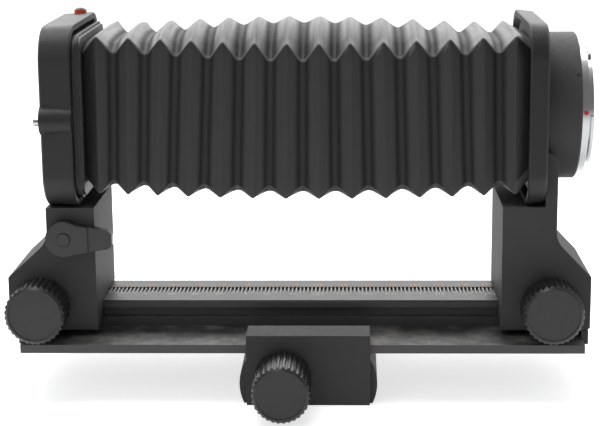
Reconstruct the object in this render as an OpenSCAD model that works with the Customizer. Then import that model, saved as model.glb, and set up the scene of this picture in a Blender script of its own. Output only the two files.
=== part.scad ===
// Macro bellows unit: a pleated bellows between a lens standard and a camera
// standard. Both standards run on a toothed rail by rack and pinion, and the
// rail itself runs through a tripod block with a third rack and pinion.
// +X runs along the rail from the lens side to the camera side, +Z is up, and
// the origin is the mouth of the tripod thread in the block's flat bottom.

/* [Rail and base plate] */
// Length of the rail and of the plate under it
rail_l = 218.8; // [200:0.1:260]
// Where the middle of the rail stands along X from the tripod thread
rail_at = -2.7; // [-6:0.1:4]
// Width of the rail
rail_w = 32.8; // [30:0.1:36]
// Height of the rail above the base plate
rail_h = 10.4; // [9:0.1:12]
// Height of the rail's top flange
rail_top_flange = 2.9; // [2.6:0.1:3.4]
// Height of the groove along each side of the rail
groove_h = 3.8; // [3.4:0.1:4.4]
// Depth of the groove along each side of the rail
groove_d = 2.6; // [2:0.1:3.2]
// Width of the base plate, front to back
base_w = 86.6; // [80:0.1:96]
// Thickness of the base plate
base_t = 3.4; // [3:0.1:4.5]
// Thickness of the caps on the rail's ends
end_cap_t = 2.8; // [2:0.1:4]

/* [Racks and pinions] */
// Pitch of the teeth of both racks
tooth_pitch = 1.6; // [1.4:0.1:1.8]
// Pressure angle of the teeth
pressure_angle = 20; // [18:1:22]
// Width of the rack in the rail's top
rack_w = 8; // [6:0.5:9]
// How far the rack lies behind the rail's middle
rack_y = 1; // [0:0.5:2]
// Teeth of the pinion in each standard
stand_teeth = 12; // [11:1:13]
// Teeth of the pinion in the tripod block
block_teeth = 20; // [18:1:21]
// Play between the teeth
backlash = 0.08; // [0.06:0.01:0.12]

/* [Tripod block] */
// Length of the block along the rail
block_l = 47.8; // [44:0.1:50]
// Height of the block's floor under the base plate
block_floor = 19.8; // [19:0.1:22]
// Thickness of the lips over the base plate
lip_t = 4.3; // [3.5:0.1:4.5]
// Thickness of the block's front wall and of its rear jaw
jaw_t = 2.7; // [2.2:0.1:4]
// Thickness of the clamp jaw's lip over the plate's far edge
jaw_lip_t = 2; // [1.6:0.1:2.4]
// How far each lip reaches back over the base plate
lip_reach = 11.2; // [8:0.1:11.2]
// How far the block's rounded flanks bulge out past its front wall
flank_bulge = 2.9; // [1:0.1:4]
// Radius of the hole of the tripod thread
thread_r = 2.55; // [2.5:0.05:3.2]
// Depth of the tripod thread
thread_l = 9; // [6:0.5:10]
// How far left of the thread the block's knob stands
block_knob_left = 9.6; // [8:0.1:12]

/* [Standards] */
// Length of each standard's foot along the rail
foot_l = 34.8; // [33:0.1:38]
// Length of the lens standard's upright along the rail
lens_upright_l = 18.9; // [18:0.1:21]
// Length of the camera standard's upright along the rail
camera_upright_l = 21; // [19:0.1:23]
// Gap between the base plate and the standards' feet
foot_gap = 2.6; // [2.2:0.1:3.5]
// Height of the foot's straight outer wall
foot_h = 21.3; // [20:0.1:24]
// Height of the slope from the foot up to the upright
slope_h = 14.4; // [12:0.1:16]
// Radius of the hollow where the slope meets the upright
slope_r = 9; // [4:0.5:12]
// How far the standards' near face stands in front of the rail
cheek_t = 15.1; // [13:0.1:16]
// Thickness of the cheek behind the rail
back_cheek_t = 7.8; // [6.5:0.1:9]
// Height of the seat of the head frames above the rail's top
seat_h = 41.4; // [38:0.1:46]
// Distance between the standards' inner faces
stand_gap = 158.6; // [140:0.2:159]
// How far the lens knob stands from the inner face of its standard
lens_knob_u = 21.9; // [18:0.1:23]
// How far the camera knob stands from the inner face of its standard
camera_knob_u = 18.8; // [17:0.1:23]

/* [Knobs] */
// Radius of the two standard knobs
knob_r = 11.7; // [10.5:0.1:11.9]
// Length of the two standard knobs
knob_l = 16.8; // [12:0.1:20]
// Radius of the block knob
block_knob_r = 11.1; // [10:0.1:11.4]
// Length of the block knob
block_knob_l = 24.6; // [18:0.1:28]
// Number of grip flutes round each knob
flutes = 32; // [24:1:36]
// Radius of each grip flute
flute_r = 0.75; // [0.6:0.05:0.85]
// Radius of the lock knobs on the back
lock_r = 7.2; // [6:0.1:7.4]
// Radius of the knob shafts of the standards
shaft_r = 2.1; // [1.9:0.05:2.15]
// Radius of the knob shaft of the block
block_shaft_r = 3; // [2.5:0.1:3.6]

/* [Head frames] */
// Width of the head frames, front to back
frame_w = 76.4; // [72:0.1:80]
// Height of the head frames
frame_h = 70.8; // [68:0.1:74]
// How much narrower a head frame is at its closed side, each side
side_draft = 1.8; // [0.5:0.1:2.2]
// How much lower a head frame is at its closed side
top_draft = 0.6; // [0.2:0.1:1.5]
// Corner radius of the head frames
frame_r = 13.5; // [10:0.5:15]
// Thickness of the lens frame
lens_frame_t = 12.4; // [11.5:0.1:14]
// Thickness of the camera frame
camera_frame_t = 7.4; // [6.4:0.1:8]
// Thickness of the frames' walls
frame_wall = 2.4; // [2:0.1:3]
// Width of the rim round the frames' recess
rim_w = 2.5; // [2:0.1:3]
// How far the lens frame's outer face stands from its standard's inner face
lens_frame_u = 18.7; // [18:0.1:20]
// How far the camera frame's outer face stands from its standard's inner face
camera_frame_u = 16.4; // [15.6:0.1:16.8]

/* [Bellows] */
// Outer width and height of the bellows
bellows_w = 60.4; // [57:0.1:62]
// Number of pleats, half of them on each side of the middle
pleats = 14; // [12:2:16]
// How deep the pleats fold in
pleat_d = 2.9; // [2:0.1:4]
// Thickness of the bellows cloth
cloth_t = 0.9; // [0.7:0.1:1.2]
// How far the corners of the outer folds are cut off
peak_corner = 0.8; // [0.4:0.1:2]
// How far the corners of the inner folds are cut off
valley_corner = 3.4; // [2:0.1:4]
// How far the inner folds hang below the outer ones
valley_drop = 0.5; // [0:0.1:1]
// How far the middle of the bellows sags
bellows_sag = 2; // [0:0.1:4]
// How far the top of the middle pleats arches up
bellows_arch = 8; // [0:0.1:9]
// How far the bottom of the middle pleats bulges down
bellows_bulge = 2; // [0:0.1:3]

/* [Lens and camera mounts] */
// Radius of the throat of the lens mount
throat_r = 24; // [21:0.1:24.5]
// Outer radius of the lens mount ring
lens_ring_r = 30; // [28:0.1:31]
// How far the lens mount ring stands out of its frame
lens_ring_out = 1.2; // [0.8:0.1:2]
// Outer radius of the drum that carries the camera mount
drum_r = 29.1; // [27.6:0.1:30]
// Length of the drum
drum_l = 13.7; // [12:0.1:18]
// Outer radius of the camera mount's flange
flange_r = 27.2; // [26:0.1:27.4]
// Thickness of the camera mount's flange
flange_t = 2.6; // [2:0.1:3.6]
// Radius of the spigot that enters the camera
spigot_r = 22.9; // [22:0.1:23.4]
// Length of the spigot
spigot_l = 2.3; // [2:0.1:6]
// Bore of the camera mount
camera_bore_r = 20.5; // [18:0.1:20.8]
// How far the bayonet lugs stand out of the spigot
lug_out = 1.7; // [1:0.1:2.4]

/* [Small controls] */
// Radius of the lens release button
button_r = 1.7; // [1.4:0.05:2]
// How far the lens release button stands out
button_out = 2.9; // [2.4:0.1:3.5]
// Radius of the round end of the clamp lever
lever_r = 7.1; // [6:0.1:7.6]
// Reach of the clamp lever from its pivot to its tip
lever_reach = 18.6; // [16:0.1:19]
// Thickness of the clamp lever
lever_t = 5.2; // [4.4:0.1:5.4]
// Radius of the cable release socket
socket_r = 2.5; // [2.2:0.1:3]
// Height of the cable release socket
socket_h = 2.6; // [2:0.1:4.5]

/* [Screws] */
// Shank radius of the screws that hold the base plate to the rail
plate_screw_r = 1.6; // [1.4:0.05:1.7]
// Head radius of the screws that hold the base plate to the rail
plate_head_r = 3.2; // [2.8:0.1:3.3]
// Length of the base plate screws in the rail
plate_screw_in = 4.5; // [3:0.1:4.8]

/* [Fits] */
// Gap between parts that slide on each other
slide_gap = 0.25; // [0.15:0.05:0.35]
// Gap between a shaft and its bush
shaft_gap = 0.05; // [0.03:0.01:0.08]
// Gap between a turning part and a face it turns on
turn_gap = 0.3; // [0.2:0.05:0.4]

/* [Hidden] */
$fn = 64;

// Heights, from the table up
base_z = block_floor + slide_gap;
rail_z = base_z + base_t;
rail_top = rail_z + rail_h;
groove_z1 = rail_top - rail_top_flange;
groove_z0 = groove_z1 - groove_h;
lip_z = rail_z + slide_gap;
block_h = lip_z + lip_t;
foot_z = rail_z + foot_gap;
shoulder_z = foot_z + foot_h;
waist_z = shoulder_z + slope_h;
seat_z = rail_top + seat_h;
axis_z = seat_z + (frame_h - top_draft) / 2;
head_top = seat_z + frame_h;

// Depths, from front to back
rail_y = rail_w / 2;
base_y = base_w / 2;
block_y = base_y + slide_gap + jaw_t;
lip_y = base_y - lip_reach;
near_y = -rail_y - cheek_t;
upright_back = rail_y + slide_gap + 0.35;
back_y = rail_y + slide_gap + back_cheek_t;
frame_y = frame_w / 2;

// Places along the rail
rail_x0 = rail_at - rail_l / 2;
rail_x1 = rail_at + rail_l / 2;
stand_mid = -4;
lens_x = stand_mid - stand_gap / 2;
camera_x = stand_mid + stand_gap / 2;
lens_knob_x = lens_x - lens_knob_u;
camera_knob_x = camera_x + camera_knob_u;
tongue_room = min(rail_x1 - camera_x, lens_x - rail_x0) - 0.3;
lens_face = lens_x - lens_frame_u;
camera_face = camera_x + camera_frame_u;

// Teeth
tooth_m = tooth_pitch / PI;
rack_add = 0.65 * tooth_m;
rack_ded = 1.25 * tooth_m;
pinion_add = tooth_m;
pinion_ded = 0.9 * tooth_m;
stand_pitch_r = stand_teeth * tooth_m / 2;
block_pitch_r = block_teeth * tooth_m / 2;
rack_sink = 0.15;
rack_pitch_z = rail_top - rack_sink - rack_add;
stand_shaft_z = rack_pitch_z + stand_pitch_r;
rack_body = 2.4;
rack_end = 9;
rack_n = floor((rail_l - 2 * rack_end) / tooth_pitch);
block_rack_y = -18;
block_rack_z = base_z - rack_body - rack_ded;
block_shaft_z = block_rack_z - block_pitch_r;
block_knob_x = -block_knob_left;
bush_r = 5;
block_bush_r = 6;

// Bellows
cuff_t = 3;
cuff_grow = 1.6;
cuff_gap = 1.5;
cuff_step = 1;
cuff_hole = bellows_w - 2 * pleat_d - 8;
lens_cuff_x = lens_face + lens_frame_t + cuff_t;
camera_cuff_x = camera_face - camera_frame_t + 2;
cloth_gap = 0.3;
top_steps = 6;
bellows_x0 = lens_cuff_x + cloth_gap;
bellows_x1 = camera_cuff_x - cloth_gap;
bellows_mid = (bellows_x0 + bellows_x1) / 2;

// Small controls
boss_r = 5.6;
boss_in = 3.6;
boss_y = -max(frame_y - boss_in, lens_ring_r + button_r + 1);
button_z = axis_z - 0.6;
button_back = 10;
lever_x = lens_x - 11.4;
lever_z = seat_z - 11.4;
lever_pin_r = 2.5;
socket_x = lens_face + 0.6 * lens_frame_t;
socket_y = frame_y - frame_r - socket_r;
socket_z = head_top - top_draft;

// ---------- shapes that repeat ----------

// A round bar along +X
module bar_x(r, l) {
    rotate([0, 90, 0]) cylinder(r = r, h = l);
}

// A round bar along +Y
module bar_y(r, l) {
    rotate([-90, 0, 0]) cylinder(r = r, h = l);
}

// A rectangle with round corners, centred
module round_rect(w, h, r) {
    square([w - 2 * r, h], center = true);
    square([w, h - 2 * r], center = true);
    for (x = [-1, 1], y = [-1, 1]) {
        translate([x * (w / 2 - r), y * (h / 2 - r)]) circle(r = r);
    }
}

// A flat outline in the Y-Z plane at x0, drawn out along +X
module slab_x(x0, l) {
    translate([x0, 0, 0]) rotate([90, 0, 90]) linear_extrude(l) children();
}

// A flat outline in the X-Z plane, drawn out from y0 to y1
module slab_y(y0, y1) {
    translate([0, y1, 0]) rotate([90, 0, 0]) linear_extrude(y1 - y0) children();
}

// One flank point of an involute tooth, at radius r on base circle rb
function involute_turn(r, rb) =
    let (a = acos(rb / r)) tan(a) * 180 / PI - a;

// The outline of a pinion with a gap between teeth straight below its centre
module pinion_outline(teeth) {
    rp = teeth * tooth_m / 2;
    rb = rp * cos(pressure_angle);
    ro = rp + pinion_add;
    rr = rp - pinion_ded;
    steps = 4;
    half = 90 / teeth - backlash / 4 / rp * 180 / PI;
    start = half + involute_turn(rp, rb);
    radii = [for (i = [0:steps]) rb + (ro - rb) * i / steps];
    flank = [for (r = radii) [r, start - involute_turn(r, rb)]];
    tooth = concat(
        [[rr, -start]],
        [for (i = [0:steps]) [flank[i][0], -flank[i][1]]],
        [for (i = [steps:-1:0]) [flank[i][0], flank[i][1]]],
        [[rr, start]]
    );
    polygon([
        for (k = [0:teeth - 1], p = tooth)
            let (a = -90 + (k + 0.5) * 360 / teeth + p[1])
                [p[0] * cos(a), p[0] * sin(a)]
    ]);
}

// The outline of a toothed rack with its pitch line at y = 0, teeth up
module rack_outline(count, body) {
    half = tooth_pitch / 4 - backlash / 4;
    lean = tan(pressure_angle);
    tip = half - rack_add * lean;
    root = half + rack_ded * lean;
    end = (count / 2) * tooth_pitch;
    polygon(concat(
        [[-end, -rack_ded - body], [-end, -rack_ded]],
        [
            for (i = [0:count - 1])
                let (x = (i + 0.5 - count / 2) * tooth_pitch)
                    each [
                        [x - root, -rack_ded], [x - tip, rack_add],
                        [x + tip, rack_add], [x + root, -rack_ded]
                    ]
        ],
        [[end, -rack_ded], [end, -rack_ded - body]]
    ));
}

// How far the nearest rack tooth lies from x
function tooth_offset(x) =
    let (u = (x - rail_at) / tooth_pitch - (rack_n % 2 == 0 ? 0.5 : 0))
        (round(u) - u) * tooth_pitch;

// A fluted knob with its flat face forward at y = 0 and its back at y = l
module grip_knob(r, l, hole_r, hole_l) {
    rim = 1.3;
    collar = 2.4;
    difference() {
        rotate([-90, 0, 0]) rotate_extrude() polygon([
            [0, 0.4], [r - rim - 0.6, 0.4], [r - rim - 0.6, 0], [r - rim, 0], [r, rim],
            [r, l - collar], [r - 0.8, l - collar + 0.8], [r - 0.8, l], [0, l]
        ]);
        for (i = [0:flutes - 1]) {
            rotate([0, i * 360 / flutes, 0])
                translate([r + 0.3 * flute_r, -1, 0])
                    rotate([-90, 0, 0]) cylinder(r = flute_r, h = l - collar + 0.5, $fn = 20);
        }
        translate([0, l - hole_l, 0]) bar_y(hole_r, hole_l + 1);
    }
}

// A knob shaft with its pinion, its front end at y0 and its back end at y1
module knob_shaft(teeth, r, y0, y1, gear_y0, gear_y1, turn) {
    difference() {
        union() {
            translate([0, y0, 0]) bar_y(r, y1 - y0);
            rotate([0, -turn, 0]) slab_y(gear_y0, gear_y1) pinion_outline(teeth);
        }
        translate([0, y1 - 0.6, 0]) bar_y(0.6, 1);
    }
}

// A plain bush with its flanged mouth forward
module plain_bush(outer, inner, y0, y1) {
    difference() {
        translate([0, y0, 0]) bar_y(outer, y1 - y0);
        translate([0, y0 - 1, 0]) bar_y(inner, y1 - y0 + 2);
    }
}

// A lock knob on the back, with its clamping screw reaching forward to y0
module lock_knob(face_y, y0, screw_r) {
    grip = 9.5;
    neck = 3;
    difference() {
        union() {
            translate([0, face_y + neck, 0]) rotate([-90, 0, 0]) rotate_extrude() polygon([
                [0, 0], [lock_r - 1, 0], [lock_r, 1], [lock_r, grip - 1],
                [lock_r - 1, grip], [0, grip]
            ]);
            translate([0, face_y, 0]) bar_y(lock_r - 2.4, neck + 1);
            translate([0, y0, 0]) bar_y(screw_r, face_y - y0 + 1);
        }
        for (i = [0:15]) {
            rotate([0, i * 22.5, 0])
                translate([lock_r + 0.4, face_y + neck - 1, 0])
                    rotate([-90, 0, 0]) cylinder(r = 0.9, h = grip + 2, $fn = 20);
        }
        translate([0, face_y + neck + grip - 0.6, 0]) bar_y(lock_r - 2.6, 1);
    }
}

// A slotted screw head lying on the face x = 0 and looking along +X
module screw_x(head_r, head_l, shank_r, shank_l) {
    difference() {
        union() {
            bar_x(head_r, head_l);
            translate([-shank_l, 0, 0]) bar_x(shank_r, shank_l + 0.1);
        }
        translate([head_l / 2, -0.3, -head_r - 1]) cube([head_l, 0.6, 2 * head_r + 2]);
    }
}

// ---------- tripod block ----------

module block_side() {
    flank_top = block_floor - 2;
    flank_mid = flank_top / 2 - 1;
    reach = block_l / 2 + flank_bulge;
    sag = flank_bulge;
    chord = flank_top / 2 + 1;
    arc_r = (chord * chord + sag * sag) / (2 * sag);
    for (s = [-1, 1]) {
        intersection() {
            translate([-reach, 0]) square([2 * reach, block_floor]);
            translate([s * (reach - arc_r), flank_mid]) circle(r = arc_r, $fn = 128);
        }
    }
    translate([-block_l / 2, 0]) square([block_l, block_floor]);
}

module block_body() {
    front = -block_y;
    inner = base_y + slide_gap;
    rack_half = rack_w / 2 + 2 * slide_gap;
    well_r = block_pitch_r + pinion_add + 2 * slide_gap;
    color("dimgray") difference() {
        union() {
            slab_y(front, front + jaw_t) translate([-block_l / 2, 0]) square([block_l, block_h]);
            slab_y(front + jaw_t, inner) block_side();
            slab_y(front, -lip_y) translate([-block_l / 2, lip_z]) square([block_l, lip_t]);
        }
        // way for the rack under the plate, and the pinion's well below it
        translate([-block_l, block_rack_y - rack_half, block_rack_z - rack_add - 2 * slide_gap])
            cube([2 * block_l, 2 * rack_half, block_floor]);
        translate([block_knob_x, block_rack_y - rack_half, block_shaft_z])
            bar_y(well_r, 2 * rack_half);
        // seat of the bush, and the blind end of the shaft's way
        translate([block_knob_x, front - 1, block_shaft_z])
            bar_y(block_bush_r, block_rack_y - rack_half - front + 1.5);
        translate([block_knob_x, block_rack_y, block_shaft_z])
            bar_y(block_shaft_r + shaft_gap, rack_half + 6);
        // seat of the tripod bush
        translate([0, 0, -1]) cylinder(r = block_bush_r + 1, h = thread_l + 3);
        // way of the lock screw and its jaw screws, from the back
        translate([0, inner - 20, block_shaft_z]) bar_y(3 + shaft_gap, 21);
        for (x = [-1, 1]) {
            translate([x * block_l / 3, inner - 9, block_floor / 3]) bar_y(1.6, 10);
        }
    }
}

module block_jaw() {
    inner = base_y + slide_gap;
    color("dimgray") difference() {
        union() {
            slab_y(inner, block_y) translate([-block_l / 2, 0])
                square([block_l, lip_z + jaw_lip_t]);
            slab_y(lip_y, block_y) translate([-block_l / 2, lip_z])
                square([block_l, jaw_lip_t]);
        }
        translate([0, inner - 1, block_shaft_z]) bar_y(3 + shaft_gap, jaw_t + 2);
        for (x = [-1, 1]) {
            translate([x * block_l / 3, inner - 1, block_floor / 3]) bar_y(1.6, jaw_t + 2);
        }
    }
}

module jaw_screws() {
    color("silver") for (x = [-1, 1]) {
        translate([x * block_l / 3, block_y, block_floor / 3]) {
            rotate([0, 0, 90]) screw_x(2.8, 1.6, 1.6, jaw_t + slide_gap + 7);
        }
    }
}

module tripod_bush() {
    color("silver") difference() {
        cylinder(r = block_bush_r + 1, h = thread_l + 2);
        translate([0, 0, -1]) cylinder(r = thread_r, h = thread_l + 1);
    }
}

module block_bush() {
    rack_half = rack_w / 2 + 2 * slide_gap;
    color("goldenrod") translate([block_knob_x, 0, block_shaft_z])
        plain_bush(block_bush_r, block_shaft_r + shaft_gap, -block_y, block_rack_y - rack_half);
}

module block_knob() {
    color("black") translate([block_knob_x, -block_y - turn_gap - block_knob_l, block_shaft_z])
        grip_knob(block_knob_r, block_knob_l, block_shaft_r, 16);
}

module block_pinion() {
    turn = -tooth_offset(block_knob_x) / block_pitch_r * 180 / PI;
    color("silver") translate([block_knob_x, 0, block_shaft_z])
        knob_shaft(block_teeth, block_shaft_r, -block_y - turn_gap - 16,
            block_rack_y + rack_w / 2 + 4, block_rack_y - rack_w / 2,
            block_rack_y + rack_w / 2, turn + 180);
}

module block_lock() {
    color("black") translate([0, 0, block_shaft_z])
        lock_knob(block_y + turn_gap, base_y + slide_gap - 12, 3);
}

// ---------- rail ----------

module rail_outline() {
    difference() {
        translate([-rail_y, rail_z]) square([rail_w, rail_h]);
        for (s = [-1, 1]) {
            translate([s * rail_y - groove_d, groove_z0]) square([2 * groove_d, groove_h]);
        }
        translate([rack_y - rack_w / 2, rail_top - rack_sink - rack_add - rack_ded - rack_body])
            square([rack_w, rail_h]);
        for (s = [-1, 1]) {
            translate([s * rail_y, rail_top]) rotate(45) square(1, center = true);
        }
    }
}

module rail() {
    color("dimgray") difference() {
        slab_x(rail_x0, rail_l) rail_outline();
        for (s = [-1, 1], y = [-1, 1]) {
            translate([rail_at + s * (rail_l / 2 - 6) - 6, y * rail_y / 2, rail_z + rail_h / 3])
                bar_x(1.4, 12);
        }
        for (x = [-2:2]) {
            translate([rail_at + x * rail_l / 5.6, -rail_y / 2, rail_z - 1])
                cylinder(r = plate_screw_r, h = plate_screw_in + 1.5);
        }
    }
}

module base_plate() {
    color("dimgray") difference() {
        translate([rail_x0, -base_y, base_z]) cube([rail_l, base_w, base_t]);
        for (x = [-2:2]) {
            translate([rail_at + x * rail_l / 5.6, -rail_y / 2, base_z - 1])
                cylinder(r = plate_screw_r + shaft_gap, h = base_t + 2);
            translate([rail_at + x * rail_l / 5.6, -rail_y / 2, base_z])
                cylinder(r1 = plate_head_r + 2 * shaft_gap, r2 = plate_screw_r + shaft_gap,
                    h = plate_head_r - plate_screw_r + shaft_gap);
        }
    }
}

module plate_screws() {
    color("silver") for (x = [-2:2]) {
        translate([rail_at + x * rail_l / 5.6, -rail_y / 2, base_z]) difference() {
            union() {
                cylinder(r1 = plate_head_r, r2 = plate_screw_r, h = plate_head_r - plate_screw_r);
                cylinder(r = plate_screw_r, h = base_t + plate_screw_in);
            }
            translate([-plate_head_r - 1, -0.3, -1]) cube([2 * plate_head_r + 2, 0.6, 1.5]);
        }
    }
}

module top_rack() {
    color("silver") translate([rail_at, 0, rack_pitch_z])
        slab_y(rack_y - rack_w / 2, rack_y + rack_w / 2) rack_outline(rack_n, rack_body);
}

module block_rack() {
    color("silver") translate([rail_at, 0, block_rack_z])
        slab_y(block_rack_y - rack_w / 2, block_rack_y + rack_w / 2)
            mirror([0, 1]) rack_outline(rack_n, rack_body);
}

module end_cap(x0) {
    low_y = -near_y;
    difference() {
        union() {
            slab_x(x0, end_cap_t) translate([-low_y, base_z + 0.3])
                square([2 * low_y, foot_z - base_z - 0.3 - slide_gap]);
            slab_x(x0, end_cap_t) translate([-rail_y + 0.4, rail_z])
                square([rail_w - 0.8, rail_h - 0.4]);
        }
        for (y = [-1, 1]) {
            translate([x0 - 1, y * rail_y / 2, rail_z + rail_h / 3])
                bar_x(1.4, end_cap_t + 2);
        }
    }
}

module lens_end_cap() {
    color("dimgray") end_cap(rail_x0 - end_cap_t);
}

module camera_end_cap() {
    color("dimgray") end_cap(rail_x1);
}

module cap_screws() {
    color("silver") for (s = [-1, 1], y = [-1, 1]) {
        translate([rail_at + s * (rail_l / 2 + end_cap_t), y * rail_y / 2, rail_z + rail_h / 3])
            rotate([0, 0, s > 0 ? 0 : 180]) screw_x(2.4, 1.2, 1.4, end_cap_t + 8);
    }
}

// ---------- bellows ----------

// One edge of a fold from y = a to y = -a, bulging by rise at its middle
function fold_edge(a, rise, steps) = [
    for (i = [0:steps])
        let (y = a * (1 - 2 * i / steps)) [y, rise * (1 - pow(y / a, 2))]
];

// Points of a square fold of half width h, cut off by c at its corners
function fold_ring(h, c, top, low) = concat(
    [[-h, c - h]],
    [for (p = fold_edge(h - c, low, 2)) [-p[0], -h - p[1]]],
    [[h, c - h], [h, h - c]],
    [for (p = fold_edge(h - c, top, top_steps)) [p[0], h + p[1]]],
    [[-h, h - c]]
);

// How much of its sag and arch the bellows has at x: none at its ends, all at its middle
function bellows_belly(x) =
    1 - pow((x - bellows_mid) / (bellows_x1 - bellows_mid), 2);

// Half width of the fold with number i: valleys are even and peaks odd
function fold_half(i) = bellows_w / 2 - (i % 2 == 0 ? pleat_d : 0);

module pleated_half(x0, x1) {
    n = pleats;
    rings = concat(
        [for (i = [0:n]) [x0 + (x1 - x0) * i / n, fold_half(i), i % 2]],
        [for (i = [n:-1:0]) [x0 + (x1 - x0) * i / n, fold_half(i) - cloth_t, i % 2]]
    );
    count = len(rings);
    points = [
        for (r = rings)
            let (
                b = bellows_belly(r[0]),
                c = r[2] == 0 ? valley_corner : peak_corner,
                drop = bellows_sag * b + (r[2] == 0 ? valley_drop * min(1, 4 * b) : 0)
            )
                for (p = fold_ring(r[1], c, bellows_arch * b, bellows_bulge * b))
                    [r[0], p[0], axis_z + p[1] - drop]
    ];
    side = top_steps + 8;
    faces = [
        for (i = [0:count - 1], k = [0:side - 1])
            let (j = (i + 1) % count, m = (k + 1) % side)
                each [
                    [i * side + k, j * side + k, j * side + m],
                    [i * side + k, j * side + m, i * side + m]
                ]
    ];
    polyhedron(points = points, faces = faces);
}

module lens_bellows() {
    color("black") pleated_half(bellows_x0, bellows_mid);
}

module camera_bellows() {
    color("black") pleated_half(bellows_mid, bellows_x1);
}

// ---------- standards ----------

// Side outline of a standard: u from its inner face outwards, z up
module stand_side(upright_l) {
    toe = 1;
    difference() {
        polygon([
            [0, foot_z], [foot_l - toe, foot_z], [foot_l, foot_z + toe],
            [foot_l, shoulder_z], [upright_l, waist_z], [upright_l, seat_z], [0, seat_z]
        ]);
        // hollow at the top of the slope
        slope = atan2(slope_h, foot_l - upright_l);
        run = slope_r * tan((90 - slope) / 2);
        difference() {
            polygon([
                [upright_l - 3, waist_z - run], [foot_l, shoulder_z],
                [foot_l, waist_z + run], [upright_l - 3, waist_z + run]
            ]);
            polygon([
                [0, foot_z], [foot_l, foot_z], [foot_l, shoulder_z],
                [upright_l, waist_z], [upright_l, seat_z], [0, seat_z]
            ]);
        }
    }
    slope = atan2(slope_h, foot_l - upright_l);
    run = slope_r * tan((90 - slope) / 2);
    difference() {
        polygon([
            [upright_l, waist_z - run], [upright_l + run * cos(slope), waist_z - run * sin(slope)],
            [upright_l, waist_z + run]
        ]);
        translate([upright_l + slope_r, waist_z + run]) circle(r = slope_r, $fn = 96);
    }
}

// The casting of a standard with its inner face at x = 0 and its foot towards +X
module stand_casting(knob_u, upright_l) {
    inner_y = rail_y + slide_gap;
    well = stand_pitch_r + pinion_add + 2 * slide_gap;
    tongue_l = tongue_room;
    back_in = 3;
    difference() {
        union() {
            difference() {
                slab_y(near_y, upright_back) stand_side(upright_l);
                // way of the rail
                translate([-1, -inner_y, foot_z - 1])
                    cube([foot_l + 2, inner_y + upright_back + 1,
                        rail_top + slide_gap - foot_z + 1]);
            }
            // near tongue in the rail's groove
            translate([0, -inner_y - 1, groove_z0 + slide_gap])
                cube([tongue_l, groove_d + 1, groove_h - 2 * slide_gap]);
            // web behind the rail, with a pocket for the gib
            difference() {
                translate([back_in, inner_y, foot_z])
                    cube([foot_l - 2 * back_in, back_y - inner_y, stand_shaft_z + 5 - foot_z]);
                translate([-1, inner_y - 1, groove_z0])
                    cube([foot_l + 2, back_gib() + 1, groove_h]);
            }
        }
        // well of the pinion, open to the rack
        translate([knob_u - well, rack_y - rack_w / 2 - 2 * slide_gap, rail_top - 1])
            cube([2 * well, rack_w + 4 * slide_gap, stand_shaft_z - rail_top + 1]);
        translate([knob_u, rack_y - rack_w / 2 - 2 * slide_gap, stand_shaft_z])
            bar_y(well, rack_w + 4 * slide_gap);
        // way of the shaft over the rail
        translate([knob_u - shaft_r - slide_gap, -inner_y - 1, rail_top - 1])
            cube([2 * (shaft_r + slide_gap), 2 * inner_y - 2, stand_shaft_z - rail_top + 1]);
        translate([knob_u, -inner_y - 1, stand_shaft_z])
            bar_y(shaft_r + slide_gap, 2 * inner_y - 2);
        // seat of the bush
        translate([knob_u, near_y - 1, stand_shaft_z]) bar_y(bush_r, cheek_t - slide_gap + 1);
        // way of the lock screw
        translate([knob_u, inner_y - 6, stand_shaft_z])
            bar_y(shaft_r + shaft_gap, back_cheek_t + 8);
    }
}

// Thickness of the gib between the rail and the cheek behind it
function back_gib() = 1.8;

module lens_standard() {
    color("dimgray") difference() {
        translate([lens_x, 0, 0]) mirror([1, 0, 0])
            stand_casting(lens_knob_u, lens_upright_l);
        translate([lever_x, near_y - 1, lever_z]) bar_y(lever_pin_r, 7);
    }
}

module camera_standard() {
    back = camera_face - camera_x;
    web_t = camera_upright_l - back;
    web_h = axis_z - seat_z - 13;
    color("dimgray") difference() {
        union() {
            translate([camera_x, 0, 0]) stand_casting(camera_knob_u, camera_upright_l);
            // web that rises behind the camera frame and cradles the drum
            slab_y(near_y, upright_back) translate([camera_x + back, seat_z - 1]) {
                square([web_t, web_h - web_t]);
                translate([0, web_h - web_t]) intersection() {
                    circle(r = web_t);
                    square([web_t, web_t]);
                }
            }
        }
        translate([camera_x, 0, axis_z]) bar_x(drum_r + slide_gap, camera_upright_l + 1);
    }
}

// Outline of a head frame, drawn in at its sides, top and foot
module frame_outline(side, top, foot, r) {
    translate([0, seat_z + (frame_h - top + foot) / 2])
        round_rect(frame_w - 2 * side, frame_h - top - foot, r);
}

// A head frame: a shallow drafted tray with its open side towards +X, back face at x = 0
module head_tray(t, hole_r) {
    skin = 0.1;
    edge = 0.7;
    difference() {
        hull() {
            slab_x(0, skin) frame_outline(side_draft + edge, top_draft + edge, edge, frame_r);
            slab_x(edge, skin) frame_outline(side_draft, top_draft, 0, frame_r);
            slab_x(t - edge, skin) frame_outline(0, 0, 0, frame_r);
            slab_x(t - skin, skin) frame_outline(edge / 2, edge / 2, 0, frame_r);
        }
        hull() {
            slab_x(frame_wall, skin)
                frame_outline(side_draft + rim_w, top_draft + rim_w, rim_w, frame_r - rim_w);
            slab_x(t, skin) frame_outline(rim_w, rim_w, rim_w, frame_r - rim_w);
        }
        translate([-1, 0, axis_z]) bar_x(hole_r, frame_wall + 2);
    }
}

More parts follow.
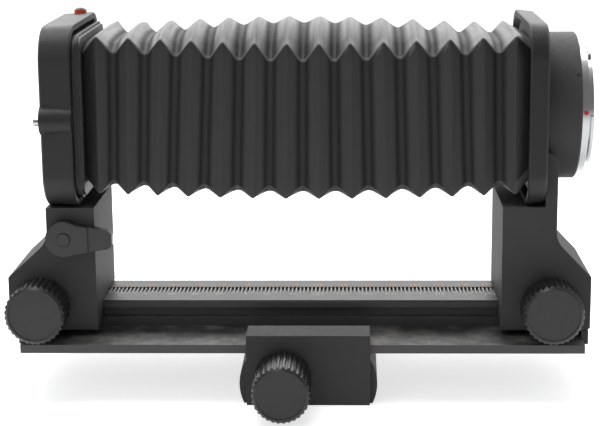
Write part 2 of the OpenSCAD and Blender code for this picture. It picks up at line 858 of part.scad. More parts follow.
module lens_frame() {
    color("dimgray") difference() {
        union() {
            translate([lens_face, 0, 0]) head_tray(lens_frame_t, throat_r);
            translate([lens_face, boss_y, axis_z]) intersection() {
                bar_x(boss_r, lens_frame_t);
                translate([-1, -boss_r - 1, -boss_r]) cube([lens_frame_t + 2, boss_r + 2, 2 * boss_r]);
            }
        }
        translate([lens_face - 1, boss_y, button_z]) bar_x(button_r + shaft_gap, button_back + 1);
        translate([socket_x, socket_y, socket_z - 2]) cylinder(r = socket_r - 0.7, h = 3);
        translate([socket_x, socket_y, socket_z]) cylinder(r = socket_r + shaft_gap, h = 3);
    }
}

module camera_frame() {
    color("dimgray") translate([camera_face, 0, 0]) mirror([1, 0, 0])
        head_tray(camera_frame_t, camera_bore_r + 2);
}

// Outline of what fills the floor of a head frame's tray
module tray_filling() {
    side = side_draft + rim_w + cuff_gap;
    frame_outline(side, top_draft + rim_w + cuff_gap, rim_w + cuff_gap, frame_r - rim_w);
}

// The square way through a bellows cuff
module cuff_way(x0, l) {
    slab_x(x0, l) translate([0, axis_z]) round_rect(cuff_hole, cuff_hole, 3);
}

module lens_cuff() {
    w = bellows_w + 2 * cuff_grow;
    step_x = lens_face + lens_frame_t;
    color("black") difference() {
        union() {
            slab_x(lens_face + frame_wall, lens_frame_t - frame_wall + cuff_step / 2)
                tray_filling();
            slab_x(step_x, cuff_step) translate([0, axis_z]) round_rect(w + 3, w - 1, 8);
            slab_x(step_x + cuff_step, cuff_t - 2 * cuff_step) translate([0, axis_z])
                round_rect(w, w, 6);
            slab_x(step_x + cuff_step, cuff_t - cuff_step) translate([0, axis_z])
                round_rect(w - 2, w - 2, 5);
        }
        cuff_way(lens_face, lens_frame_t + cuff_t + 1);
    }
}

module camera_cuff() {
    l = camera_face - frame_wall - camera_cuff_x;
    color("black") difference() {
        slab_x(camera_cuff_x, l) tray_filling();
        cuff_way(camera_cuff_x - 1, l + 2);
    }
}

module lens_ring() {
    lip = 2.4;
    color("gainsboro") difference() {
        translate([lens_face - lens_ring_out, 0, axis_z]) {
            difference() {
                union() {
                    bar_x(lens_ring_r, lens_ring_out);
                    bar_x(throat_r - shaft_gap, lens_ring_out + frame_wall);
                }
                translate([-1, 0, 0]) bar_x(throat_r - lip, lens_ring_out + frame_wall + 2);
            }
        }
        for (i = [0:3]) {
            translate([lens_face - lens_ring_out - 1, 0, axis_z]) rotate([45 + i * 90, 0, 0])
                translate([0, (throat_r + lens_ring_r) / 2, 0]) bar_x(1, lens_ring_out + 2);
        }
    }
}

module lens_ring_screws() {
    color("silver") for (i = [0:3]) {
        translate([lens_face - lens_ring_out, 0, axis_z]) rotate([45 + i * 90, 0, 0])
            translate([0, (throat_r + lens_ring_r) / 2, 0])
                rotate([0, 0, 180]) screw_x(1.7, 0.8, 1, lens_ring_out);
    }
}

module gib(x0, l) {
    inner_y = rail_y + slide_gap;
    translate([x0, inner_y, groove_z0]) cube([l, back_gib(), groove_h]);
    translate([x0, inner_y - groove_d, groove_z0 + slide_gap])
        cube([l, groove_d + 0.5, groove_h - 2 * slide_gap]);
}

module lens_gib() {
    color("goldenrod") gib(lens_x - tongue_room, tongue_room - 3);
}

module camera_gib() {
    color("goldenrod") gib(camera_x + 3, tongue_room - 3);
}

module stand_bush(x) {
    translate([x, 0, stand_shaft_z])
        plain_bush(bush_r, shaft_r + shaft_gap, near_y, near_y + cheek_t - slide_gap);
}

module lens_bush() {
    color("goldenrod") stand_bush(lens_knob_x);
}

module camera_bush() {
    color("goldenrod") stand_bush(camera_knob_x);
}

module stand_knob(x) {
    translate([x, near_y - turn_gap - knob_l, stand_shaft_z])
        grip_knob(knob_r, knob_l, shaft_r, 12);
}

module lens_knob() {
    color("black") stand_knob(lens_knob_x);
}

module camera_knob() {
    color("black") stand_knob(camera_knob_x);
}

module stand_pinion(x) {
    turn = tooth_offset(x) / stand_pitch_r * 180 / PI;
    translate([x, 0, stand_shaft_z])
        knob_shaft(stand_teeth, shaft_r, near_y - turn_gap - 12, rack_y + rack_w / 2 + 1,
            rack_y - rack_w / 2 + 0.4, rack_y + rack_w / 2 - 0.4, turn);
}

module lens_pinion() {
    color("silver") stand_pinion(lens_knob_x);
}

module camera_pinion() {
    color("silver") stand_pinion(camera_knob_x);
}

module stand_lock(x) {
    translate([x, 0, stand_shaft_z])
        lock_knob(back_y + turn_gap, rack_y + rack_w / 2 + 1.4, shaft_r);
}

module lens_lock() {
    color("black") stand_lock(lens_knob_x);
}

module camera_lock() {
    color("black") stand_lock(camera_knob_x);
}

// ---------- small controls on the lens standard ----------

module clamp_lever() {
    tip_r = 1.6;
    back = near_y - turn_gap;
    step_x = 9.3;
    tip_in = 1.7;
    color("black") difference() {
        translate([lever_x, 0, lever_z]) {
            rotate([0, 180, 0]) translate([0, back - lever_t, 0]) bar_y(lever_r, lever_t);
            slab_y(back - lever_t, back) polygon([
                [-1, lever_r - 0.5], [lever_reach - tip_r, 3.2], [lever_reach, 3.2 - tip_r],
                [lever_reach, tip_r - 4.2], [lever_reach - tip_r, -4.2], [-1, 0.5 - lever_r]
            ]);
        }
        translate([lever_x + step_x, back - lever_t - 1, lever_z - 1.5 * lever_r])
            cube([lever_reach, tip_in + 1, 3 * lever_r]);
        translate([lever_x, back - lever_t - 1, lever_z]) bar_y(lever_pin_r + shaft_gap, lever_t + 2);
    }
}

module lever_pivot() {
    color("black") translate([lever_x, near_y - turn_gap - lever_t - 0.5, lever_z])
        bar_y(lever_pin_r, turn_gap + lever_t + 6);
}

module release_button() {
    color("silver") translate([lens_face - button_out, boss_y, button_z]) {
        translate([0.4, 0, 0]) bar_x(button_r, button_out + button_back - 3);
        rotate([0, 90, 0]) cylinder(r1 = button_r - 0.4, r2 = button_r, h = 0.4);
    }
}

module cable_socket() {
    color("silver") translate([socket_x, socket_y, socket_z]) difference() {
        translate([0, 0, -2]) cylinder(r = socket_r - 0.7, h = 2 + socket_h);
        translate([0, 0, -1]) cylinder(r = 1, h = socket_h + 2);
    }
}

module socket_ring() {
    color("orangered") translate([socket_x, socket_y, socket_z]) difference() {
        cylinder(r = socket_r, h = socket_h - 0.6);
        translate([0, 0, -1]) cylinder(r = socket_r - 0.7, h = socket_h + 2);
    }
}

// ---------- camera mount ----------

module drum() {
    color("dimgray") translate([camera_face, 0, axis_z]) difference() {
        union() {
            bar_x(drum_r, drum_l - 0.5);
            translate([drum_l - 0.5, 0, 0]) rotate([0, 90, 0])
                cylinder(r1 = drum_r, r2 = drum_r - 0.5, h = 0.5);
        }
        translate([-1, 0, 0]) bar_x(camera_bore_r + 2, drum_l + 2);
    }
}

module camera_mount() {
    face = camera_face + drum_l + turn_gap / 2;
    hub_r = camera_bore_r + 2 - shaft_gap;
    lug_half = 28;
    far = 2 * spigot_r;
    color("gainsboro") difference() {
        translate([face, 0, axis_z]) {
            bar_x(flange_r, flange_t);
            bar_x(spigot_r, flange_t + spigot_l);
            translate([-drum_l / 2, 0, 0]) bar_x(hub_r, drum_l / 2 + 1);
            for (i = [0:2]) {
                rotate([i * 120 + 90, 0, 0]) intersection() {
                    translate([flange_t + spigot_l - 1.2, 0, 0]) bar_x(spigot_r + lug_out, 1.2);
                    rotate([90, 0, 90]) linear_extrude(flange_t + spigot_l + 1)
                        polygon([
                            [0, 0], [far * cos(lug_half), -far * sin(lug_half)],
                            [far, -far / 4], [far, far / 4],
                            [far * cos(lug_half), far * sin(lug_half)]
                        ]);
                }
            }
        }
        translate([face - drum_l, 0, axis_z])
            bar_x(camera_bore_r, 2 * drum_l + flange_t + spigot_l);
        for (i = [0:4]) {
            translate([face + flange_t - 0.8, 0, axis_z]) rotate([i * 72 + 60, 0, 0])
                translate([0, (spigot_r + flange_r) / 2, 0]) bar_x(0.9, 1);
        }
    }
}

module mount_screws() {
    face = camera_face + drum_l + turn_gap / 2;
    color("dimgray") for (i = [0:4]) {
        translate([face + flange_t - 0.8, 0, axis_z]) rotate([i * 72 + 60, 0, 0])
            translate([0, (spigot_r + flange_r) / 2, 0]) difference() {
                bar_x(0.9, 0.6);
                translate([0.3, -0.15, -1]) cube([1, 0.3, 2]);
            }
    }
}

module index_dot() {
    face = camera_face + drum_l + turn_gap / 2;
    color("red") translate([face + flange_t / 2, 0, axis_z]) rotate([88, 0, 0])
        translate([0, 0, flange_r]) cylinder(r = 0.9, h = 0.3);
}

block_body();
block_jaw();
jaw_screws();
tripod_bush();
block_bush();
block_knob();
block_pinion();
block_lock();
base_plate();
rail();
top_rack();
block_rack();
lens_end_cap();
camera_end_cap();
plate_screws();
cap_screws();
lens_bellows();
camera_bellows();
lens_standard();
lens_frame();
lens_cuff();
lens_ring();
lens_ring_screws();
lens_gib();
lens_bush();
lens_knob();
lens_pinion();
lens_lock();
clamp_lever();
lever_pivot();
release_button();
cable_socket();
socket_ring();
camera_standard();
camera_frame();
camera_cuff();
drum();
camera_gib();
camera_bush();
camera_knob();
camera_pinion();
camera_lock();
camera_mount();
mount_screws();
index_dot();
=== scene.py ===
"""Dresses the macro bellows unit: finishes on its metal parts, the folded cloth of the
bellows, the printed scale on its rail, small marks, and a plain studio round it."""

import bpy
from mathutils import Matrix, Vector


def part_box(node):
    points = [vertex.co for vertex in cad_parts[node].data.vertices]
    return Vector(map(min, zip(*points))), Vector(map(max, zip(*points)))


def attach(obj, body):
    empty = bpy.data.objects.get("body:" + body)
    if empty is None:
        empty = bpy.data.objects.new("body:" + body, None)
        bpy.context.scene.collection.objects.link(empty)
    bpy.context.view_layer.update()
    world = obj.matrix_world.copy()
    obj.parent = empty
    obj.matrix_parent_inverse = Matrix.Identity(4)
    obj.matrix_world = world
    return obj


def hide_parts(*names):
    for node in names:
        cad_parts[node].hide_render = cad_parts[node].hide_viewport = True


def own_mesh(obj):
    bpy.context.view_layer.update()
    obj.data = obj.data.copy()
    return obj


bl_info = {
    "name": "Macro Bellows Unit",
    "version": (1, 0, 0),
    "blender": (4, 5, 0),
    "location": "View3D > Sidebar > Bellows Unit",
    "description": "Finishes, folded cloth, printed scale and studio for a macro bellows unit",
    "category": "Object",
}

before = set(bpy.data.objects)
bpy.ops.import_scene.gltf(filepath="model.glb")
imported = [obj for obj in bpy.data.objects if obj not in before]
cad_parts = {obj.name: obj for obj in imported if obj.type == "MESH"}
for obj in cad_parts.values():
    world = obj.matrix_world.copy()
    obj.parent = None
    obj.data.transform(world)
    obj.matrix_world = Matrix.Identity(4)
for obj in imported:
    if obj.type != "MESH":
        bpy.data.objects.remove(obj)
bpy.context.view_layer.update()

import math
import random

import bmesh
import bpy
from bpy.props import FloatProperty, FloatVectorProperty, IntProperty, PointerProperty
from mathutils import Matrix, Vector

MM = 0.001


def middle(node, axis):
    """The middle of a CAD node's box along one axis."""
    low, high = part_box(node)
    return (low[axis] + high[axis]) / 2


AXIS_Z = middle("drum", 2)
RAIL_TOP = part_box("rail")[1][2]
FOLD_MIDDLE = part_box("lens_bellows")[1][0]

# Dust on paint and on cloth, and the pale line along the cloth's corners, which is a painted
# highlight
PAINT_DUST = (0.32, 0.31, 0.29)
CLOTH_DUST = (0.30, 0.29, 0.27)
CORNER_HIGHLIGHT = (0.10, 0.10, 0.095)


# ---------------------------------------------------------------- sizes and colours


class BellowsSizes(bpy.types.PropertyGroup):
    """Sizes of the folded cloth."""

    pleats: IntProperty(
        name="Pleats",
        description="Pleats in each half of the bellows",
        default=7,
        min=4,
        max=12,
    )
    half_width: FloatProperty(
        name="Half width",
        description="From the bellows' axis to the outer folds",
        default=30.1 * MM,
        unit="LENGTH",
    )
    fold_depth: FloatProperty(
        name="Fold depth",
        description="How far the inner folds lie inside the outer ones",
        default=2.9 * MM,
        unit="LENGTH",
    )
    peak_corner: FloatProperty(
        name="Outer corner",
        description="Radius of the outer folds' corners",
        default=0.9 * MM,
        unit="LENGTH",
    )
    valley_corner: FloatProperty(
        name="Inner corner",
        description="Radius of the inner folds' corners",
        default=1.5 * MM,
        unit="LENGTH",
    )
    valley_dip: FloatProperty(
        name="Corner dip",
        description="How far the inner folds dive towards the bellows' corners",
        default=2.3 * MM,
        unit="LENGTH",
    )
    valley_drop: FloatProperty(
        name="Inner drop",
        description="How far the inner folds hang below the outer ones",
        default=0.5 * MM,
        unit="LENGTH",
    )
    peak_lift: FloatProperty(
        name="Outer lift",
        description="How far the top corners of the outer folds stand up",
        default=1.65 * MM,
        unit="LENGTH",
    )
    peak_slack: FloatProperty(
        name="Outer slack",
        description="How far the corners of the outer folds have sunk by the middle",
        default=1.0 * MM,
        unit="LENGTH",
    )
    valley_lift: FloatProperty(
        name="Inner lift",
        description="How far the top corners of the inner folds stand up",
        default=0.8 * MM,
        unit="LENGTH",
    )
    valley_slack: FloatProperty(
        name="Inner slack",
        description="How far the corners of the inner folds have sunk by the middle",
        default=2.0 * MM,
        unit="LENGTH",
    )
    tilt: FloatProperty(
        name="Tilt",
        description="How far the bellows hangs lower towards the camera than the lens",
        default=0.35 * MM,
        unit="LENGTH",
    )
    fan: FloatProperty(
        name="Fan",
        description="How far the folds spread towards their bottom",
        default=11.0 * MM,
        unit="LENGTH",
    )
    peak_crease: FloatProperty(
        name="Outer crease",
        description="Width of the rounded crease along each outer fold",
        default=0.8 * MM,
        unit="LENGTH",
    )
    valley_crease: FloatProperty(
        name="Inner crease",
        description="Width of the rounded crease along each inner fold",
        default=1.6 * MM,
        unit="LENGTH",
    )
    drift: FloatProperty(
        name="Drift",
        description="How far the middle folds have drifted towards the lens",
        default=1.8 * MM,
        unit="LENGTH",
    )
    cloth: FloatProperty(
        name="Cloth thickness",
        description="Thickness of the coated cloth",
        default=0.8 * MM,
        unit="LENGTH",
    )
    sag: FloatProperty(
        name="Sag",
        description="How far the middle of the bellows hangs down",
        default=2.0 * MM,
        unit="LENGTH",
    )
    peak_arch: FloatProperty(
        name="Outer arch",
        description="How far the middle of the outer top folds rises over their corners",
        default=7.1 * MM,
        unit="LENGTH",
    )
    valley_arch: FloatProperty(
        name="Inner arch",
        description="How far the middle of the inner top folds rises over their corners",
        default=9.3 * MM,
        unit="LENGTH",
    )
    bulge: FloatProperty(
        name="Bulge",
        description="How far the middle of each bottom fold hangs under its corners",
        default=2.0 * MM,
        unit="LENGTH",
    )


class ScaleSizes(bpy.types.PropertyGroup):
    """Sizes of the scale printed on the rail."""

    first: IntProperty(name="First number", description="First number", default=20)
    last: IntProperty(name="Last number", description="Last number", default=170)
    zero_x: FloatProperty(
        name="Start",
        description="Where the first number stands along the rail",
        default=-77.15 * MM,
        unit="LENGTH",
    )
    figure_height: FloatProperty(
        name="Figure height",
        description="Height of the printed figures",
        default=2.3 * MM,
        unit="LENGTH",
    )
    near_row: FloatProperty(
        name="Near row",
        description="Where the near row of figures lies across the rail",
        default=-6.6 * MM,
        unit="LENGTH",
    )
    far_row: FloatProperty(
        name="Far row",
        description="Where the far row of figures lies across the rail",
        default=8.2 * MM,
        unit="LENGTH",
    )
    tick_width: FloatProperty(
        name="Tick width",
        description="Width of one printed line",
        default=0.16 * MM,
        unit="LENGTH",
    )


class FinishColours(bpy.types.PropertyGroup):
    """Colours of the finishes."""

    paint: FloatVectorProperty(
        name="Paint",
        description="Satin black paint on the castings",
        subtype="COLOR",
        default=(0.026, 0.026, 0.0253),
        min=0,
        max=1,
    )
    anodised: FloatVectorProperty(
        name="Anodised",
        description="Black anodising on the rail and its plate",
        subtype="COLOR",
        default=(0.016, 0.016, 0.0155),
        min=0,
        max=1,
    )
    cloth: FloatVectorProperty(
        name="Cloth",
        description="Coated black cloth of the bellows",
        subtype="COLOR",
        default=(0.009, 0.0089, 0.0086),
        min=0,
        max=1,
    )
    steel: FloatVectorProperty(
        name="Steel",
        description="Bare steel of the racks and shafts",
        subtype="COLOR",
        default=(0.50, 0.50, 0.48),
        min=0,
        max=1,
    )
    chrome: FloatVectorProperty(
        name="Chrome",
        description="Plating of the mounts",
        subtype="COLOR",
        default=(0.52, 0.535, 0.53),
        min=0,
        max=1,
    )
    near_print: FloatVectorProperty(
        name="Near figures",
        description="Ink of the near row of figures",
        subtype="COLOR",
        default=(0.80, 0.80, 0.78),
        min=0,
        max=1,
    )
    far_print: FloatVectorProperty(
        name="Far figures",
        description="Ink of the far row of figures",
        subtype="COLOR",
        default=(0.80, 0.36, 0.12),
        min=0,
        max=1,
    )


class StudioSizes(bpy.types.PropertyGroup):
    """The camera and the lights."""

    camera_place: FloatVectorProperty(
        name="Camera",
        description="Where the camera stands",
        subtype="TRANSLATION",
        unit="LENGTH",
        default=(17.59 * MM, -650.0 * MM, 208.5 * MM),
    )
    turn: FloatProperty(
        name="Turn",
        description="How far the camera turns to the right",
        default=math.radians(-1.911),
        unit="ROTATION",
    )
    dip: FloatProperty(
        name="Dip",
        description="How far the camera looks down",
        default=math.radians(12.335),
        unit="ROTATION",
    )
    roll: FloatProperty(
        name="Roll",
        description="How far the camera leans to the right",
        default=math.radians(0.502),
        unit="ROTATION",
    )
    lens: FloatProperty(
        name="Lens",
        description="Focal length in millimetres on a 36 mm wide frame",
        default=98.08,
    )
    room_light: FloatProperty(
        name="Room light",
        description="Strength of the even light of the room",
        default=0.35,
        min=0,
    )
    back_light: FloatProperty(
        name="Back light",
        description="Power of the broad soft light behind the object",
        default=10.0,
        min=0,
    )
    top_light: FloatProperty(
        name="Top light",
        description="Power of the soft light overhead",
        default=6.5,
        min=0,
    )
    front_light: FloatProperty(
        name="Front light",
        description="Power of the soft light at the front left",
        default=1.5,
        min=0,
    )


# ---------------------------------------------------------------- shader groups


def new_group(name, inputs, outputs):
    """An empty shader group with named sockets, and its input and output nodes."""
    group = bpy.data.node_groups.new(name, "ShaderNodeTree")
    for label, kind, value in inputs:
        socket = group.interface.new_socket(name=label, in_out="INPUT", socket_type=kind)
        socket.default_value = value
    for label, kind in outputs:
        group.interface.new_socket(name=label, in_out="OUTPUT", socket_type=kind)
    entry = group.nodes.new("NodeGroupInput")
    leave = group.nodes.new("NodeGroupOutput")
    return group, entry, leave


def add(tree, kind, **values):
    """A new node whose properties and input sockets are set by name."""
    node = tree.nodes.new(kind)
    for key, value in values.items():
        if hasattr(node, key):
            setattr(node, key, value)
        else:
            node.inputs[key.replace("_", " ")].default_value = value
    return node


def join(tree, source, output, target, socket):
    """Links one node's output to another node's input."""
    tree.links.new(source.outputs[output], target.inputs[socket])


def soft_edge_group():
    """Rounds edges for the light, and marks them."""
    group, entry, leave = new_group(
        "Soft Edge",
        [("Radius", "NodeSocketFloat", 0.4 * MM)],
        [("Normal", "NodeSocketVector"), ("Edge", "NodeSocketFloat")],
    )
    bevel = add(group, "ShaderNodeBevel", samples=4)
    plain = add(group, "ShaderNodeNewGeometry")
    dot = add(group, "ShaderNodeVectorMath", operation="DOT_PRODUCT")
    edge = add(group, "ShaderNodeMapRange", From_Min=0.995, From_Max=0.80)
    join(group, entry, "Radius", bevel, "Radius")
    join(group, bevel, "Normal", leave, "Normal")
    join(group, bevel, "Normal", dot, 0)
    join(group, plain, "Normal", dot, 1)
    join(group, dot, "Value", edge, "Value")
    join(group, edge, "Result", leave, "Edge")
    return group


def fine_grain_group():
    """A fine grain for the surface, and a slow mottling of its colour."""
    group, entry, leave = new_group(
        "Fine Grain",
        [("Grain Size", "NodeSocketFloat", 0.4), ("Mottle Size", "NodeSocketFloat", 14.0)],
        [("Height", "NodeSocketFloat"), ("Mottle", "NodeSocketFloat")],
    )
    place = add(group, "ShaderNodeTexCoord")
    fine = add(group, "ShaderNodeTexNoise", Detail=3.0, Roughness=0.6)
    slow = add(group, "ShaderNodeTexNoise", Detail=4.0, Roughness=0.55)
    fine_scale = add(group, "ShaderNodeMath", operation="DIVIDE")
    fine_scale.inputs[0].default_value = 1000.0
    slow_scale = add(group, "ShaderNodeMath", operation="DIVIDE")
    slow_scale.inputs[0].default_value = 1000.0
    join(group, entry, "Grain Size", fine_scale, 1)
    join(group, entry, "Mottle Size", slow_scale, 1)
    join(group, place, "Object", fine, "Vector")
    join(group, place, "Object", slow, "Vector")
    join(group, fine_scale, "Value", fine, "Scale")
    join(group, slow_scale, "Value", slow, "Scale")
    join(group, fine, "Fac", leave, "Height")
    join(group, slow, "Fac", leave, "Mottle")
    return group


def dust_group():
    """A thin dust that lies on faces that look up."""
    group, entry, leave = new_group(
        "Dust",
        [("Amount", "NodeSocketFloat", 0.3), ("Specks", "NodeSocketFloat", 420.0)],
        [("Mask", "NodeSocketFloat")],
    )
    place = add(group, "ShaderNodeTexCoord")
    split = add(group, "ShaderNodeSeparateXYZ")
    up = add(group, "ShaderNodeMapRange", From_Min=0.35, From_Max=1.0)
    speck = add(group, "ShaderNodeTexNoise", Detail=4.0, Roughness=0.6)
    ramp = add(group, "ShaderNodeMapRange", From_Min=0.42, From_Max=0.78)
    both = add(group, "ShaderNodeMath", operation="MULTIPLY")
    scaled = add(group, "ShaderNodeMath", operation="MULTIPLY")
    join(group, place, "Normal", split, "Vector")
    join(group, split, "Z", up, "Value")
    join(group, place, "Object", speck, "Vector")
    join(group, entry, "Specks", speck, "Scale")
    join(group, speck, "Fac", ramp, "Value")
    join(group, up, "Result", both, 0)
    join(group, ramp, "Result", both, 1)
    join(group, both, "Value", scaled, 0)
    join(group, entry, "Amount", scaled, 1)
    join(group, scaled, "Value", leave, "Mask")
    return group


def machined_group():
    """Fine lines along one direction, as a cutter or a brush leaves them."""
    group, entry, leave = new_group(
        "Machined Lines",
        [("Across", "NodeSocketVector", (30.0, 3000.0, 3000.0))],
        [("Lines", "NodeSocketFloat")],
    )
    place = add(group, "ShaderNodeTexCoord")
    stretch = add(group, "ShaderNodeVectorMath", operation="MULTIPLY")
    lines = add(group, "ShaderNodeTexNoise", Scale=1.0, Detail=3.0, Roughness=0.6)
    join(group, place, "Object", stretch, 0)
    join(group, entry, "Across", stretch, 1)
    join(group, stretch, "Vector", lines, "Vector")
    join(group, lines, "Fac", leave, "Lines")
    return group


def weave_group():
    """A fine plain weave that shows through a coating."""
    group, entry, leave = new_group(
        "Coated Weave",
        [("Threads", "NodeSocketFloat", 2600.0)],
        [("Height", "NodeSocketFloat")],
    )
    place = add(group, "ShaderNodeTexCoord")
    split = add(group, "ShaderNodeSeparateXYZ")
    side = add(group, "ShaderNodeMath", operation="ADD")
    both = add(group, "ShaderNodeMath", operation="MULTIPLY")
    join(group, place, "Object", split, "Vector")
    join(group, split, "Y", side, 0)
    join(group, split, "Z", side, 1)
    for number, (source, output) in enumerate(((split, "X"), (side, "Value"))):
        scaled = add(group, "ShaderNodeMath", operation="MULTIPLY")
        wave = add(group, "ShaderNodeMath", operation="SINE")
        join(group, source, output, scaled, 0)
        join(group, entry, "Threads", scaled, 1)
        join(group, scaled, "Value", wave, 0)
        join(group, wave, "Value", both, number)
    join(group, both, "Value", leave, "Height")
    return group


GROUPS = {}


def shared_groups():
    """Builds each shader group once."""
    if not GROUPS:
        GROUPS["edge"] = soft_edge_group()
        GROUPS["grain"] = fine_grain_group()
        GROUPS["dust"] = dust_group()
        GROUPS["lines"] = machined_group()
        GROUPS["weave"] = weave_group()
    return GROUPS


def use_group(tree, key, **values):
    """Places a shared group in a material with its own values."""
    node = tree.nodes.new("ShaderNodeGroup")
    node.node_tree = shared_groups()[key]
    for name, value in values.items():
        node.inputs[name.replace("_", " ")].default_value = value
    return node


def new_finish(name):
    """An empty material with a Principled shader on its output."""
    finish = bpy.data.materials.new(name)
    finish.use_nodes = True
    tree = finish.node_tree
    tree.nodes.clear()
    shader = tree.nodes.new("ShaderNodeBsdfPrincipled")
    output = tree.nodes.new("ShaderNodeOutputMaterial")
    join(tree, shader, "BSDF", output, "Surface")
    return finish, tree, shader


def blend_colour(tree, factor, output, first, second):
    """Mixes two colours by a factor, and returns the mix node."""
    mix = tree.nodes.new("ShaderNodeMix")
    mix.data_type = "RGBA"
    join(tree, factor, output, mix, 0)
    for socket, value in ((6, first), (7, second)):
        if isinstance(value, bpy.types.Node):
            tree.links.new(value.outputs[2], mix.inputs[socket])
        else:
            mix.inputs[socket].default_value = (*value, 1.0)
    return mix


def spread(tree, source, output, low, high):
    """Maps a 0 to 1 value onto a range."""
    ranged = add(tree, "ShaderNodeMapRange", To_Min=low, To_Max=high)
    join(tree, source, output, ranged, "Value")
    return ranged


def times(colour, factor):
    """A colour made lighter or darker."""
    return tuple(min(1.0, c * factor) for c in colour)


def painted(name, colour, roughness, grain_size=0.35, grain=0.25, radius=0.45, dust=0.12,
            specular=0.4, specks=420.0):
    """Satin paint on metal: fine grain, mottled gloss, lighter rubbed edges and dust."""
    finish, tree, shader = new_finish(name)
    grains = use_group(tree, "grain", Grain_Size=grain_size, Mottle_Size=16.0)
    edges = use_group(tree, "edge", Radius=radius * MM)
    dusty = use_group(tree, "dust", Amount=dust, Specks=specks)
    tone = blend_colour(tree, grains, "Mottle", times(colour, 0.85), times(colour, 1.18))
    lighter_edges = blend_colour(tree, edges, "Edge", tone, times(colour, 2.2))
    clean = blend_colour(tree, dusty, "Mask", lighter_edges, PAINT_DUST)
    gloss = spread(tree, grains, "Mottle", roughness - 0.06, roughness + 0.08)
    bump = add(tree, "ShaderNodeBump", Strength=grain, Distance=0.06 * MM)
    join(tree, grains, "Height", bump, "Height")
    join(tree, edges, "Normal", bump, "Normal")
    join(tree, bump, "Normal", shader, "Normal")
    join(tree, gloss, "Result", shader, "Roughness")
    tree.links.new(clean.outputs[2], shader.inputs["Base Color"])
    shader.inputs["Specular IOR Level"].default_value = specular
    return finish


def metal(name, colour, roughness, across=(60.0, 4000.0, 4000.0), radius=0.2, lines=0.2):
    """Bare or plated metal with fine machining lines."""
    finish, tree, shader = new_finish(name)
    cut = use_group(tree, "lines", Across=across)
    grains = use_group(tree, "grain", Grain_Size=0.8, Mottle_Size=9.0)
    edges = use_group(tree, "edge", Radius=radius * MM)
    tone = blend_colour(tree, grains, "Mottle", times(colour, 0.9), times(colour, 1.08))
    gloss = spread(tree, cut, "Lines", roughness * 0.7, roughness * 1.4)
    bump = add(tree, "ShaderNodeBump", Strength=lines, Distance=0.02 * MM)
    join(tree, cut, "Lines", bump, "Height")
    join(tree, edges, "Normal", bump, "Normal")
    join(tree, bump, "Normal", shader, "Normal")
    join(tree, gloss, "Result", shader, "Roughness")
    tree.links.new(tone.outputs[2], shader.inputs["Base Color"])
    shader.inputs["Metallic"].default_value = 1.0
    return finish


def enamel(name, colour, roughness=0.35):
    """Ink or enamel with a slightly uneven colour."""
    finish, tree, shader = new_finish(name)
    grains = use_group(tree, "grain", Grain_Size=0.2, Mottle_Size=2.0)
    tone = blend_colour(tree, grains, "Mottle", times(colour, 0.85), times(colour, 1.12))
    gloss = spread(tree, grains, "Height", roughness - 0.08, roughness + 0.12)
    join(tree, gloss, "Result", shader, "Roughness")
    tree.links.new(tone.outputs[2], shader.inputs["Base Color"])
    return finish


def coated_cloth(name, colour):
    """Coated black cloth: brushed along its folds, lighter along its creases and corners by a
    painted highlight, and dull in the clefts of its inner folds."""
    finish, tree, shader = new_finish(name)
    weave = use_group(tree, "weave", Threads=9000.0)
    brushed = use_group(tree, "lines", Across=(900.0, 30.0, 30.0))
    dusty = use_group(tree, "dust", Amount=0.08)
    crease = add(tree, "ShaderNodeAttribute", attribute_name="crease")
    edge = add(tree, "ShaderNodeAttribute", attribute_name="edge")
    cleft = add(tree, "ShaderNodeAttribute", attribute_name="cleft")
    crease_highlight = add(tree, "ShaderNodeMath", operation="MULTIPLY")
    line = add(tree, "ShaderNodeMapRange", interpolation_type="SMOOTHSTEP", From_Min=0.5)
    dark = add(tree, "ShaderNodeMapRange", interpolation_type="SMOOTHSTEP", From_Min=0.5)
    join(tree, edge, "Fac", line, "Value")
    join(tree, cleft, "Fac", dark, "Value")
    join(tree, crease, "Fac", crease_highlight, 0)
    join(tree, brushed, "Lines", crease_highlight, 1)
    tone = blend_colour(tree, brushed, "Lines", times(colour, 0.2), times(colour, 1.6))
    # Painted highlight: the cloth turns up to five times lighter along its creases, by the
    # crease attribute and the brushed lines
    crease_lit = blend_colour(tree, crease_highlight, "Value", tone, times(colour, 5.0))
    # Painted highlight: a pale line along the cloth's four corners, by the edge attribute
    lighter_edges = blend_colour(tree, line, "Result", crease_lit, CORNER_HIGHLIGHT)
    clean = blend_colour(tree, dusty, "Mask", lighter_edges, CLOTH_DUST)
    gloss = spread(tree, brushed, "Lines", 0.34, 0.70)
    deep = spread(tree, dark, "Result", 0.0, 0.18)
    dull = add(tree, "ShaderNodeMath", operation="ADD", use_clamp=True)
    join(tree, gloss, "Result", dull, 0)
    join(tree, deep, "Result", dull, 1)
    film = spread(tree, brushed, "Lines", 1.1, 0.35)
    open_part = spread(tree, dark, "Result", 1.0, 0.0)
    coat = add(tree, "ShaderNodeMath", operation="MULTIPLY", use_clamp=True)
    join(tree, film, "Result", coat, 0)
    join(tree, open_part, "Result", coat, 1)
    fine = add(tree, "ShaderNodeBump", Strength=0.2, Distance=0.05 * MM)
    broad = add(tree, "ShaderNodeBump", Strength=0.8, Distance=0.15 * MM)
    join(tree, weave, "Height", fine, "Height")
    join(tree, brushed, "Lines", broad, "Height")
    join(tree, fine, "Normal", broad, "Normal")
    join(tree, broad, "Normal", shader, "Normal")
    join(tree, dull, "Value", shader, "Roughness")
    join(tree, coat, "Value", shader, "Coat Weight")
    tree.links.new(clean.outputs[2], shader.inputs["Base Color"])
    shader.inputs["Specular IOR Level"].default_value = 0.24
    shader.inputs["Coat Roughness"].default_value = 0.5
    shader.inputs["Sheen Weight"].default_value = 0.05
    shader.inputs["Sheen Roughness"].default_value = 0.4
    return finish


FINISHES = {}


